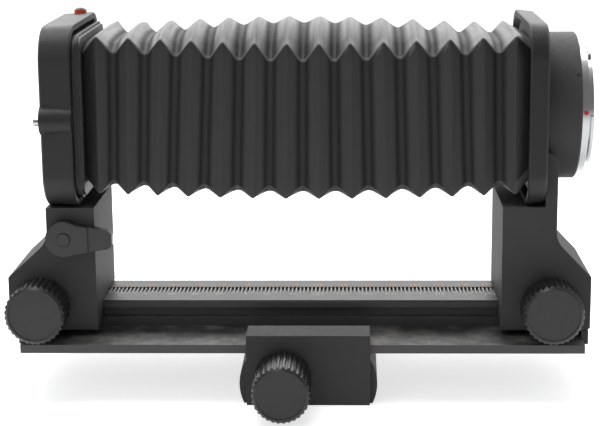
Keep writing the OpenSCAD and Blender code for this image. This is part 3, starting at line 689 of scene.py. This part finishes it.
def finish_of(kind):
    """The material of one of the object's finishes, built when it is first asked for."""
    colours = bpy.context.scene.finish_colours
    makers = {
        # Painted light: the castings' black is made twice as light, standing in for the light
        # on their fronts
        "casting": lambda: painted("Satin Black Paint", times(colours.paint, 2.0), 0.58,
                                   specular=0.30),
        "frame": lambda: painted("Frame Paint", times(colours.paint, 0.75), 0.44, radius=0.2,
                                 grain=0.18, specular=0.38),
        # Painted light: the plate's black anodising is made 2.6 times as light, standing in
        # for the overhead light on its ledge
        "plate": lambda: painted("Black Anodised Plate", times(colours.anodised, 2.6), 0.52,
                                 grain_size=0.2, grain=0.12, radius=0.3, dust=0.7,
                                 specular=0.8, specks=110.0),
        # Painted light: the rail's black anodising is made 3.6 times as light, standing in for
        # light on its front
        "rail": lambda: painted("Black Anodised Rail", times(colours.anodised, 3.6), 0.40,
                                grain_size=0.2, grain=0.08, radius=0.25, dust=0.1,
                                specular=0.42),
        "knob": lambda: painted("Black Knob", times(colours.paint, 0.4), 0.27,
                                grain_size=0.25, grain=0.1, radius=0.2, dust=0.05,
                                specular=0.5),
        "lever": lambda: painted("Black Lever", times(colours.paint, 0.7), 0.24,
                                 grain_size=0.25, grain=0.06, radius=0.6, dust=0.05,
                                 specular=0.5),
        # Painted light: the cuffs' black is made 1.7 times as light, standing in for light on
        # them
        "cuff": lambda: painted("Black Cuff", times(colours.paint, 1.7), 0.40,
                                grain_size=0.3, grain=0.15, radius=0.2, dust=0.1),
        "cloth": lambda: coated_cloth("Coated Cloth", tuple(colours.cloth)),
        "steel": lambda: metal("Bare Steel", tuple(colours.steel), 0.32),
        "rack": lambda: painted("Rack Steel", (0.36, 0.36, 0.35), 0.38, grain_size=0.2,
                                grain=0.1, radius=0.08, specular=0.5),
        "chrome": lambda: metal("Plated Mount", tuple(colours.chrome), 0.18,
                                across=(2500.0, 120.0, 120.0), lines=0.12),
        "brass": lambda: metal("Turned Brass", (0.72, 0.55, 0.27), 0.3),
        "red": lambda: enamel("Red Enamel", (0.62, 0.02, 0.03)),
        "ring": lambda: enamel("Orange Enamel", (0.72, 0.11, 0.05)),
        "near": lambda: enamel("Pale Ink", tuple(colours.near_print), 0.5),
        "far": lambda: enamel("Orange Ink", tuple(colours.far_print), 0.5),
        "mark": lambda: enamel("Black Ink", (0.006, 0.006, 0.006), 0.5),
    }
    if kind not in FINISHES:
        FINISHES[kind] = makers[kind]()
    return FINISHES[kind]


def dress(nodes, kind):
    """Gives CAD nodes one finish."""
    for name in nodes:
        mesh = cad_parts[name].data
        mesh.materials.clear()
        mesh.materials.append(finish_of(kind))


# ---------------------------------------------------------------- making pieces


def keep_piece(bm, name, body, kind, smooth=False):
    """Makes a finished bmesh an object that rides on a body."""
    mesh = bpy.data.meshes.new(name)
    bm.to_mesh(mesh)
    bm.free()
    mesh.materials.append(finish_of(kind))
    for face in mesh.polygons:
        face.use_smooth = smooth
    piece = bpy.data.objects.new(name, mesh)
    bpy.context.scene.collection.objects.link(piece)
    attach(piece, body)
    return piece


def join_meshes(objects):
    """One mesh out of several objects' evaluated meshes, at the origin."""
    bm = bmesh.new()
    for source in objects:
        evaluated = source.evaluated_get(bpy.context.evaluated_depsgraph_get())
        part = evaluated.to_mesh()
        part.transform(source.matrix_world)
        bm.from_mesh(part)
        evaluated.to_mesh_clear()
    for source in objects:
        bpy.data.objects.remove(source)
    return bm


# ---------------------------------------------------------------- bellows


# The ring that the folds are drawn from is 1 out to its sides, and straight up to this.
STRAIGHT = 0.88

# Cuts along each side of the ring, and steps round its corners and across each crease
RING_CUTS = 11
CORNER_SEGMENTS = 4
CREASE_SEGMENTS = 3

# How sharply the arch and the slack of the folds grow from the ends to the middle, how
# fast the inner folds reach their drop, and how sharply they dive near a corner
PEAK_ARCH_GROWTH = 1.45
VALLEY_ARCH_GROWTH = 2.2
PEAK_SLACK_GROWTH = 4
VALLEY_SLACK_GROWTH = 3
DROP_GROWTH = 4
DIP_SHARPNESS = 7

# Shares of the top's lift and slack that the bottom of the folds takes
LOW_PEAK_SLACK = 0.3
LOW_VALLEY_LIFT = 0.5
LOW_VALLEY_SLACK = 0.45

# The share of the drift near the lens, and how it grows until it is full past the middle
DRIFT_START = 0.45
DRIFT_SLOPE = 2.15
DRIFT_DELAY = 0.32

# Where along the bellows the folds fan out from, and how far one fold strays by chance
FAN_CENTRE = 0.55
STRAY = 0.16 * MM
SEED = 7

# The tilt is full up to a sixth of the length, and turns over to full from five sixths on.
TILT_START = 1.5
TILT_SLOPE = 3

# How strong the painted highlight along a crease is at its rims and along its middle, and
# how deep in a cleft an inner fold's middle lies, where its rims lie at 1
RIM_HIGHLIGHT = 0.25
PEAK_HIGHLIGHT = 0.5
VALLEY_HIGHLIGHT = 1.0
CLEFT_MIDDLE = 0.85


def fold_place(across, over, peak, belly, sizes):
    """Where a point of the ring lies in an outer or inner fold, across and up."""
    half = sizes.half_width - (0 if peak else sizes.fold_depth)
    corner = sizes.peak_corner if peak else sizes.valley_corner
    dip = 0 if peak else sizes.valley_dip
    flat = half - corner

    def out(t):
        """One coordinate of the ring, out to the fold's own straight part and corner."""
        if abs(t) <= STRAIGHT:
            return t / STRAIGHT * flat
        return math.copysign(flat + (abs(t) - STRAIGHT) / (1 - STRAIGHT) * corner, t)

    y, z = out(across), out(over)
    curve = max(0.0, 1 - (y / flat) ** 2)
    if abs(over) <= STRAIGHT:
        z *= 1 - dip / flat
    else:
        z -= math.copysign(dip * min(1.0, abs(across) / STRAIGHT) ** DIP_SHARPNESS, over)
    if over > STRAIGHT:
        z += curve * (sizes.peak_arch * belly ** PEAK_ARCH_GROWTH if peak
                      else sizes.valley_arch * belly ** VALLEY_ARCH_GROWTH)
    elif over < -STRAIGHT:
        z -= curve * sizes.bulge * belly
    if peak:
        lift, slack = sizes.peak_lift, sizes.peak_slack * belly ** PEAK_SLACK_GROWTH
        low = -LOW_PEAK_SLACK * slack
    else:
        lift, slack = sizes.valley_lift, sizes.valley_slack * belly ** VALLEY_SLACK_GROWTH
        low = LOW_VALLEY_LIFT * lift - LOW_VALLEY_SLACK * slack
        z -= sizes.valley_drop * min(1, DROP_GROWTH * belly)
    reach = min(1.0, abs(over) / STRAIGHT)
    z += reach * (lift - slack if over > 0 else low)
    return y, z - sizes.sag * belly


def folded_cloth(start, end):
    """The whole bellows: a square ring extruded from fold to fold, its creases rounded."""
    sizes = bpy.context.scene.bellows_sizes
    count = 4 * sizes.pleats
    chance = random.Random(SEED)
    bm = bmesh.new()
    bmesh.ops.create_grid(bm, x_segments=1, y_segments=1, size=1.0)
    bmesh.ops.bevel(bm, geom=bm.verts[:], offset=1 - STRAIGHT, segments=CORNER_SEGMENTS,
                    profile=0.5, affect="VERTICES", material=-1)
    bmesh.ops.delete(bm, geom=bm.faces[:], context="FACES_ONLY")
    sides = [e for e in bm.edges if e.calc_length() > 1]
    bmesh.ops.subdivide_edges(bm, edges=sides, cuts=RING_CUTS)
    bmesh.ops.rotate(bm, verts=bm.verts[:], cent=(0, 0, 0),
                     matrix=Matrix.Rotation(math.radians(90), 3, "Y"))
    across = bm.verts.layers.float.new("across")
    over = bm.verts.layers.float.new("over")
    edge = bm.verts.layers.float.new("edge")
    # The crease layer holds how strong the painted highlight is along each fold
    crease = bm.verts.layers.float.new("crease")
    cleft = bm.verts.layers.float.new("cleft")
    fold = bm.verts.layers.int.new("fold")
    for v in bm.verts:
        v[across], v[over] = v.co.y, v.co.z
    ring, verts = bm.edges[:], bm.verts[:]
    for i in range(count + 1):
        if i:
            made = bmesh.ops.extrude_edge_only(bm, edges=ring)["geom"]
            verts = [g for g in made if isinstance(g, bmesh.types.BMVert)]
            fresh = set(verts)
            ring = [g for g in made if isinstance(g, bmesh.types.BMEdge)
                    and all(v in fresh for v in g.verts)]
        ends = i in (0, count)
        peak = i % 2 == 1
        along = i / count
        belly = 1 - (2 * along - 1) ** 2
        reached = max(0.0, min(1.0, DRIFT_SLOPE * along - DRIFT_DELAY))
        uneven = DRIFT_START + (1 - DRIFT_START) * reached
        here = start + (end - start) * along - sizes.drift * belly * uneven
        spread_out = sizes.fan * (along - FAN_CENTRE) * belly
        tilt = sizes.tilt * max(-1.0, min(1.0, TILT_START - TILT_SLOPE * along))
        shift, lean, swing = (0 if ends else chance.uniform(-STRAY, STRAY)
                              for _ in range(3))
        for v in verts:
            v[fold] = i
            # The edge layer marks the ring's corners, where the cloth's finish paints a
            # highlight
            v[edge] = 1.0 if abs(v[across]) > STRAIGHT and abs(v[over]) > STRAIGHT else 0.0
            y, z = fold_place(v[across], v[over], peak, belly, sizes)
            x = shift + lean * v[over] + swing * v[across]
            x += spread_out * (1 - v[over]) / 2
            v.co = (here + x, y, AXIS_Z + z + (0 if ends else tilt))
    for first, width in ((1, sizes.peak_crease), (0, sizes.valley_crease)):
        folds = [e for e in bm.edges
                 if e.verts[0][fold] == e.verts[1][fold] and e.verts[0][fold] % 2 == first
                 and 0 < e.verts[0][fold] < count]
        made = bmesh.ops.bevel(bm, geom=folds, offset=width, segments=CREASE_SEGMENTS,
                               profile=0.5, affect="EDGES", material=-1)
        strip = set(made["faces"])
        for v in {v for f in strip for v in f.verts}:
            rim = any(f not in strip for f in v.link_faces)
            v[fold] = -1
            v[cleft] = 0.0 if first else (1.0 if rim else CLEFT_MIDDLE)
            # Strength of the painted highlight along this crease
            v[crease] = RIM_HIGHLIGHT if rim else (PEAK_HIGHLIGHT if first else VALLEY_HIGHLIGHT)
    for name in ("across", "over"):
        bm.verts.layers.float.remove(bm.verts.layers.float[name])
    bm.verts.layers.int.remove(bm.verts.layers.int["fold"])
    bmesh.ops.recalc_face_normals(bm, faces=bm.faces[:])
    return bm


def fold_half(whole, name, node):
    """One half of the bellows, cut off at the middle fold and tied to the rail."""
    bm = whole.copy()
    first = node == "lens_bellows"
    bmesh.ops.bisect_plane(bm, geom=bm.verts[:] + bm.edges[:] + bm.faces[:], dist=1e-6,
                           plane_co=(FOLD_MIDDLE, 0, 0), plane_no=(1, 0, 0),
                           clear_outer=first, clear_inner=not first)
    for e in bm.edges:
        e.smooth = not e.is_boundary
    piece = keep_piece(bm, name, "rail", "cloth", smooth=True)
    wall = piece.modifiers.new("Cloth", "SOLIDIFY")
    wall.thickness = bpy.context.scene.bellows_sizes.cloth
    wall.offset = -1.0
    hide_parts(node)
    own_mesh(piece)


class BELLOWS_OT_fold_cloth(bpy.types.Operator):
    """Folds the two halves of the bellows and ties both to the rail"""

    bl_idname = "bellows.fold_cloth"
    bl_label = "Fold the bellows"

    def execute(self, context):
        """Makes both halves."""
        whole = folded_cloth(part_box("lens_bellows")[0][0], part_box("camera_bellows")[1][0])
        fold_half(whole, "bellows_cloth_lens", "lens_bellows")
        fold_half(whole, "bellows_cloth_camera", "camera_bellows")
        whole.free()
        return {"FINISHED"}


# ---------------------------------------------------------------- finishes of CAD nodes


class BELLOWS_OT_paint_castings(bpy.types.Operator):
    """Paints the block, the standards, the head frames and the drum"""

    bl_idname = "bellows.paint_castings"
    bl_label = "Paint the castings"

    def execute(self, context):
        """Gives each casting its paint."""
        dress(["block_body", "block_jaw", "lens_standard", "camera_standard", "drum",
               "lens_end_cap", "camera_end_cap"], "casting")
        dress(["lens_frame", "camera_frame"], "frame")
        dress(["lens_cuff", "camera_cuff"], "cuff")
        return {"FINISHED"}


class BELLOWS_OT_finish_rail(bpy.types.Operator):
    """Anodises the rail and its plate, and leaves the racks bare"""

    bl_idname = "bellows.finish_rail"
    bl_label = "Finish the rail"

    def execute(self, context):
        """Gives the rail's pieces their finishes."""
        dress(["base_plate"], "plate")
        dress(["rail"], "rail")
        dress(["top_rack", "block_rack"], "rack")
        dress(["plate_screws", "cap_screws", "jaw_screws", "tripod_bush"], "steel")
        return {"FINISHED"}


class BELLOWS_OT_finish_controls(bpy.types.Operator):
    """Finishes the knobs, the lever, the button and their shafts"""

    bl_idname = "bellows.finish_controls"
    bl_label = "Finish the controls"

    def execute(self, context):
        """Gives the controls their finishes."""
        dress(["block_knob", "lens_knob", "camera_knob", "block_lock", "lens_lock",
               "camera_lock"], "knob")
        dress(["clamp_lever", "lever_pivot"], "lever")
        dress(["block_pinion", "lens_pinion", "camera_pinion"], "steel")
        dress(["block_bush", "lens_bush", "camera_bush", "lens_gib", "camera_gib"], "brass")
        dress(["release_button", "cable_socket"], "chrome")
        dress(["socket_ring"], "ring")
        return {"FINISHED"}


# The two bars of the mark on the drum in millimetres, the mark's angle over the
# horizontal, and how far it lies in from the drum's rim
MARK_BARS = ((2.2, 0.06, 0.45), (0.45, 0.06, 1.3))
MARK_ANGLE = math.radians(31.5)
MARK_INSET = 1.5 * MM


def drum_mark():
    """A small inked mark on the side of the drum."""
    low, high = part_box("drum")
    radius = (high[1] - low[1]) / 2
    bm = bmesh.new()
    for size in MARK_BARS:
        made = bmesh.ops.create_cube(bm, size=MM)["verts"]
        bmesh.ops.scale(bm, verts=made, vec=size)
    bmesh.ops.translate(bm, verts=bm.verts[:], vec=(0, -radius, 0))
    bmesh.ops.rotate(bm, verts=bm.verts[:], cent=(0, 0, 0),
                     matrix=Matrix.Rotation(-MARK_ANGLE, 3, "X"))
    bmesh.ops.translate(bm, verts=bm.verts[:], vec=(high[0] - MARK_INSET, 0, AXIS_Z))
    keep_piece(bm, "drum_mark", "camera_stand", "mark")


class BELLOWS_OT_finish_mounts(bpy.types.Operator):
    """Plates the lens and camera mounts, sets their dot, and marks the drum"""

    bl_idname = "bellows.finish_mounts"
    bl_label = "Finish the mounts"

    def execute(self, context):
        """Gives the mounts their finishes."""
        dress(["camera_mount", "lens_ring"], "chrome")
        dress(["lens_ring_screws", "mount_screws"], "steel")
        dress(["index_dot"], "red")
        drum_mark()
        return {"FINISHED"}


# ---------------------------------------------------------------- printed scale


# The font's size over the height of its figures, how far they are extruded to each
# side, how far the print's middle lies over the rail, and how thick a line is
FIGURE_SCALE = 1.4
INK = 0.015 * MM
INK_LIFT = 0.02 * MM
LINE_THICKNESS = 0.03 * MM

# The lines of each tenth, fifth and single millimetre, how far from the rack they start,
# and how many there are past the first and last figure
LINE_LENGTHS = ((10, 1.5 * MM), (5, 1.15 * MM), (1, 0.8 * MM))
LINE_START = 0.35 * MM
SPARE_LINES = 5


def printed_row(name, kind, row_y, numbers, sizes):
    """One row of printed figures, lying on the rail's top."""
    texts = []
    for value in numbers:
        curve = bpy.data.curves.new("figure", "FONT")
        curve.body = str(value)
        curve.size = sizes.figure_height * FIGURE_SCALE
        curve.align_x = "CENTER"
        curve.align_y = "CENTER"
        curve.extrude = INK
        text = bpy.data.objects.new("figure", curve)
        bpy.context.scene.collection.objects.link(text)
        x = sizes.zero_x + (value - sizes.first) * MM
        text.location = (x, row_y, RAIL_TOP + INK_LIFT)
        texts.append(text)
    bpy.context.view_layer.update()
    keep_piece(join_meshes(texts), name, "rail", kind)


def printed_ticks(name, kind, row_y, away, sizes):
    """A line for every millimetre, longer at five and ten."""
    bm = bmesh.new()
    for value in range(sizes.first - SPARE_LINES, sizes.last + SPARE_LINES + 1):
        length = next(long for step, long in LINE_LENGTHS if value % step == 0)
        x = sizes.zero_x + (value - sizes.first) * MM
        made = bmesh.ops.create_cube(bm, size=1.0)["verts"]
        bmesh.ops.scale(bm, verts=made, vec=(sizes.tick_width, length, LINE_THICKNESS))
        bmesh.ops.translate(bm, verts=made,
                            vec=(x, row_y + away * length / 2, RAIL_TOP + INK_LIFT))
    keep_piece(bm, name, "rail", kind)


class BELLOWS_OT_print_scale(bpy.types.Operator):
    """Prints the two rows of millimetre figures and their lines on the rail"""

    bl_idname = "bellows.print_scale"
    bl_label = "Print the scale"

    def execute(self, context):
        """Prints both rows."""
        sizes = context.scene.scale_sizes
        numbers = range(sizes.first, sizes.last + 1, 10)
        rack_low, rack_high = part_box("top_rack")
        printed_row("scale_near_figures", "near", sizes.near_row, numbers, sizes)
        printed_ticks("scale_near_lines", "near", rack_low[1] - LINE_START, -1, sizes)
        printed_row("scale_far_figures", "far", sizes.far_row, numbers, sizes)
        printed_ticks("scale_far_lines", "far", rack_high[1] + LINE_START, 1, sizes)
        return {"FINISHED"}


# ---------------------------------------------------------------- stage


# The table top's half width, and how brightly it shows to the camera and in reflections.
# It shows in reflections only near the object, fading out between the two distances.
TABLE_HALF = 4.0
TABLE_SEEN = 0.68
TABLE_MIRRORED = 0.55
TABLE_NEAR = 0.30
TABLE_FAR = 0.75

# What reflections see in front of the object, and where that turns to white behind it
DIM_ROOM = 0.25
DIM_UNTIL = -0.7
WHITE_FROM = 0.35

# Each lamp: its name, its place, the point that it is turned to, its width and height,
# all in metres, and the setting with its power
LAMPS = (
    ("Back Light", (0.0, 0.95, 0.75), (0.0, 0.0, 0.05), 1.7, 0.8, "back_light"),
    ("Top Light", (-0.1, 0.1, 0.95), (0.0, 0.0, 0.05), 0.9, 0.6, "top_light"),
    ("Front Light", (-0.7, -0.9, 0.75), (0.0, 0.0, 0.07), 0.6, 0.6, "front_light"),
)


def studio_floor():
    """A white table top that keeps the object's shadow."""
    bm = bmesh.new()
    bmesh.ops.create_grid(bm, x_segments=2, y_segments=2, size=TABLE_HALF)
    mesh = bpy.data.meshes.new("table_top")
    bm.to_mesh(mesh)
    bm.free()
    floor = bpy.data.objects.new("table_top", mesh)
    bpy.context.scene.collection.objects.link(floor)
    finish, tree, shader = new_finish("White Table")
    grains = use_group(tree, "grain", Grain_Size=1.5, Mottle_Size=160.0)
    tone = blend_colour(tree, grains, "Mottle", (0.80, 0.81, 0.82), (0.84, 0.84, 0.85))
    tree.links.new(tone.outputs[2], shader.inputs["Base Color"])
    shader.inputs["Roughness"].default_value = 0.7
    rays = add(tree, "ShaderNodeLightPath")
    place = add(tree, "ShaderNodeTexCoord")
    reach = add(tree, "ShaderNodeVectorMath", operation="LENGTH")
    near = add(tree, "ShaderNodeMapRange", interpolation_type="SMOOTHSTEP",
               From_Min=TABLE_FAR, From_Max=TABLE_NEAR, To_Max=TABLE_MIRRORED)
    mirrored = add(tree, "ShaderNodeMath", operation="MULTIPLY")
    seen = add(tree, "ShaderNodeMath", operation="MULTIPLY_ADD")
    seen.inputs[1].default_value = TABLE_SEEN
    join(tree, place, "Object", reach, 0)
    join(tree, reach, "Value", near, "Value")
    join(tree, near, "Result", mirrored, 0)
    join(tree, rays, "Is Glossy Ray", mirrored, 1)
    join(tree, rays, "Is Camera Ray", seen, 0)
    join(tree, mirrored, "Value", seen, 2)
    join(tree, seen, "Value", shader, "Emission Strength")
    shader.inputs["Emission Color"].default_value = (1.0, 1.0, 1.0, 1.0)
    mesh.materials.append(finish)


def studio_world(strength):
    """Even room light. The camera sees white past the table, and so do reflections
    behind and above the object, while those in front of it see a dimmer room."""
    world = bpy.data.worlds.new("Studio")
    bpy.context.scene.world = world
    world.use_nodes = True
    tree = world.node_tree
    tree.nodes.clear()
    rays = add(tree, "ShaderNodeLightPath")
    mirrored = add(tree, "ShaderNodeMath", operation="MAXIMUM")
    place = add(tree, "ShaderNodeTexCoord")
    split = add(tree, "ShaderNodeSeparateXYZ")
    behind = add(tree, "ShaderNodeMapRange", interpolation_type="SMOOTHSTEP",
                 From_Min=DIM_UNTIL, From_Max=WHITE_FROM, To_Min=DIM_ROOM)
    room = add(tree, "ShaderNodeBackground", Strength=strength)
    room.inputs["Color"].default_value = (0.98, 0.99, 1.0, 1.0)
    shown = add(tree, "ShaderNodeBackground")
    white = add(tree, "ShaderNodeBackground", Strength=1.0)
    for node in (shown, white):
        node.inputs["Color"].default_value = (1.0, 1.0, 1.0, 1.0)
    reflected = add(tree, "ShaderNodeMixShader")
    final = add(tree, "ShaderNodeMixShader")
    output = add(tree, "ShaderNodeOutputWorld")
    join(tree, place, "Generated", split, "Vector")
    join(tree, split, "Y", behind, "Value")
    join(tree, behind, "Result", shown, "Strength")
    join(tree, rays, "Is Glossy Ray", mirrored, 0)
    join(tree, rays, "Is Transmission Ray", mirrored, 1)
    join(tree, mirrored, "Value", reflected, 0)
    tree.links.new(room.outputs[0], reflected.inputs[1])
    tree.links.new(shown.outputs[0], reflected.inputs[2])
    join(tree, rays, "Is Camera Ray", final, 0)
    tree.links.new(reflected.outputs[0], final.inputs[1])
    tree.links.new(white.outputs[0], final.inputs[2])
    tree.links.new(final.outputs[0], output.inputs["Surface"])


def soft_light(name, place, aim, width, height, power):
    """A soft rectangular lamp that looks at a point."""
    lamp = bpy.data.lights.new(name, "AREA")
    lamp.shape = "RECTANGLE"
    lamp.size = width
    lamp.size_y = height
    lamp.energy = power
    light = bpy.data.objects.new(name, lamp)
    bpy.context.scene.collection.objects.link(light)
    look = (Vector(aim) - Vector(place)).to_track_quat("-Z", "Y")
    light.matrix_world = Matrix.Translation(place) @ look.to_matrix().to_4x4()


def studio_camera(sizes):
    """The camera at the photograph's place and angle."""
    turn, dip, roll = sizes.turn, sizes.dip, sizes.roll
    ahead = Vector((math.sin(turn) * math.cos(dip), math.cos(turn) * math.cos(dip),
                    -math.sin(dip)))
    side = Vector((math.cos(turn), -math.sin(turn), 0.0))
    over = side.cross(ahead)
    right = side * math.cos(roll) - over * math.sin(roll)
    up = over * math.cos(roll) + side * math.sin(roll)
    lens = bpy.data.cameras.new("Camera")
    lens.sensor_fit = "HORIZONTAL"
    lens.sensor_width = 36.0
    lens.lens = sizes.lens
    lens.clip_start = 0.01
    camera = bpy.data.objects.new("Camera", lens)
    bpy.context.scene.collection.objects.link(camera)
    facing = Matrix((right, up, -ahead)).transposed().to_4x4()
    camera.matrix_world = Matrix.Translation(Vector(sizes.camera_place)) @ facing
    bpy.context.scene.camera = camera


class BELLOWS_OT_set_stage(bpy.types.Operator):
    """Sets up the table, the room light, the soft lamps and the camera"""

    bl_idname = "bellows.set_stage"
    bl_label = "Set the stage"

    def execute(self, context):
        """Makes the stage."""
        sizes = context.scene.studio_sizes
        context.scene.view_settings.view_transform = "Standard"
        studio_floor()
        studio_world(sizes.room_light)
        for name, place, aim, width, height, power in LAMPS:
            soft_light(name, place, aim, width, height, getattr(sizes, power))
        studio_camera(sizes)
        return {"FINISHED"}


# ---------------------------------------------------------------- add-on

PIECES = (
    BELLOWS_OT_paint_castings,
    BELLOWS_OT_finish_rail,
    BELLOWS_OT_finish_controls,
    BELLOWS_OT_finish_mounts,
    BELLOWS_OT_fold_cloth,
    BELLOWS_OT_print_scale,
    BELLOWS_OT_set_stage,
)


class BELLOWS_PT_panel(bpy.types.Panel):
    """Lists the pieces of the bellows unit"""

    bl_idname = "BELLOWS_PT_panel"
    bl_label = "Bellows Unit"
    bl_space_type = "VIEW_3D"
    bl_region_type = "UI"
    bl_category = "Bellows Unit"

    def draw(self, context):
        """Draws one button for each piece and a box for each group of sizes."""
        for piece in PIECES:
            self.layout.operator(piece.bl_idname)
        for name, owner in SETTINGS.items():
            box = self.layout.box()
            box.label(text=name.replace("_", " ").capitalize())
            values = getattr(context.scene, name)
            for prop in owner.__annotations__:
                box.prop(values, prop)


SETTINGS = {
    "bellows_sizes": BellowsSizes,
    "scale_sizes": ScaleSizes,
    "finish_colours": FinishColours,
    "studio_sizes": StudioSizes,
}


def register():
    """Registers the classes and hangs the settings on the scene."""
    for name, owner in SETTINGS.items():
        bpy.utils.register_class(owner)
        setattr(bpy.types.Scene, name, PointerProperty(type=owner))
    for piece in PIECES:
        bpy.utils.register_class(piece)
    bpy.utils.register_class(BELLOWS_PT_panel)


def unregister():
    """Takes everything back out."""
    bpy.utils.unregister_class(BELLOWS_PT_panel)
    for piece in reversed(PIECES):
        bpy.utils.unregister_class(piece)
    for name, owner in SETTINGS.items():
        delattr(bpy.types.Scene, name)
        bpy.utils.unregister_class(owner)


def main():
    """Makes every piece in order."""
    register()
    bpy.ops.bellows.set_stage()
    bpy.ops.bellows.paint_castings()
    bpy.ops.bellows.finish_rail()
    bpy.ops.bellows.finish_controls()
    bpy.ops.bellows.finish_mounts()
    bpy.ops.bellows.fold_cloth()
    bpy.ops.bellows.print_scale()


if __name__ == "__main__":
    main()
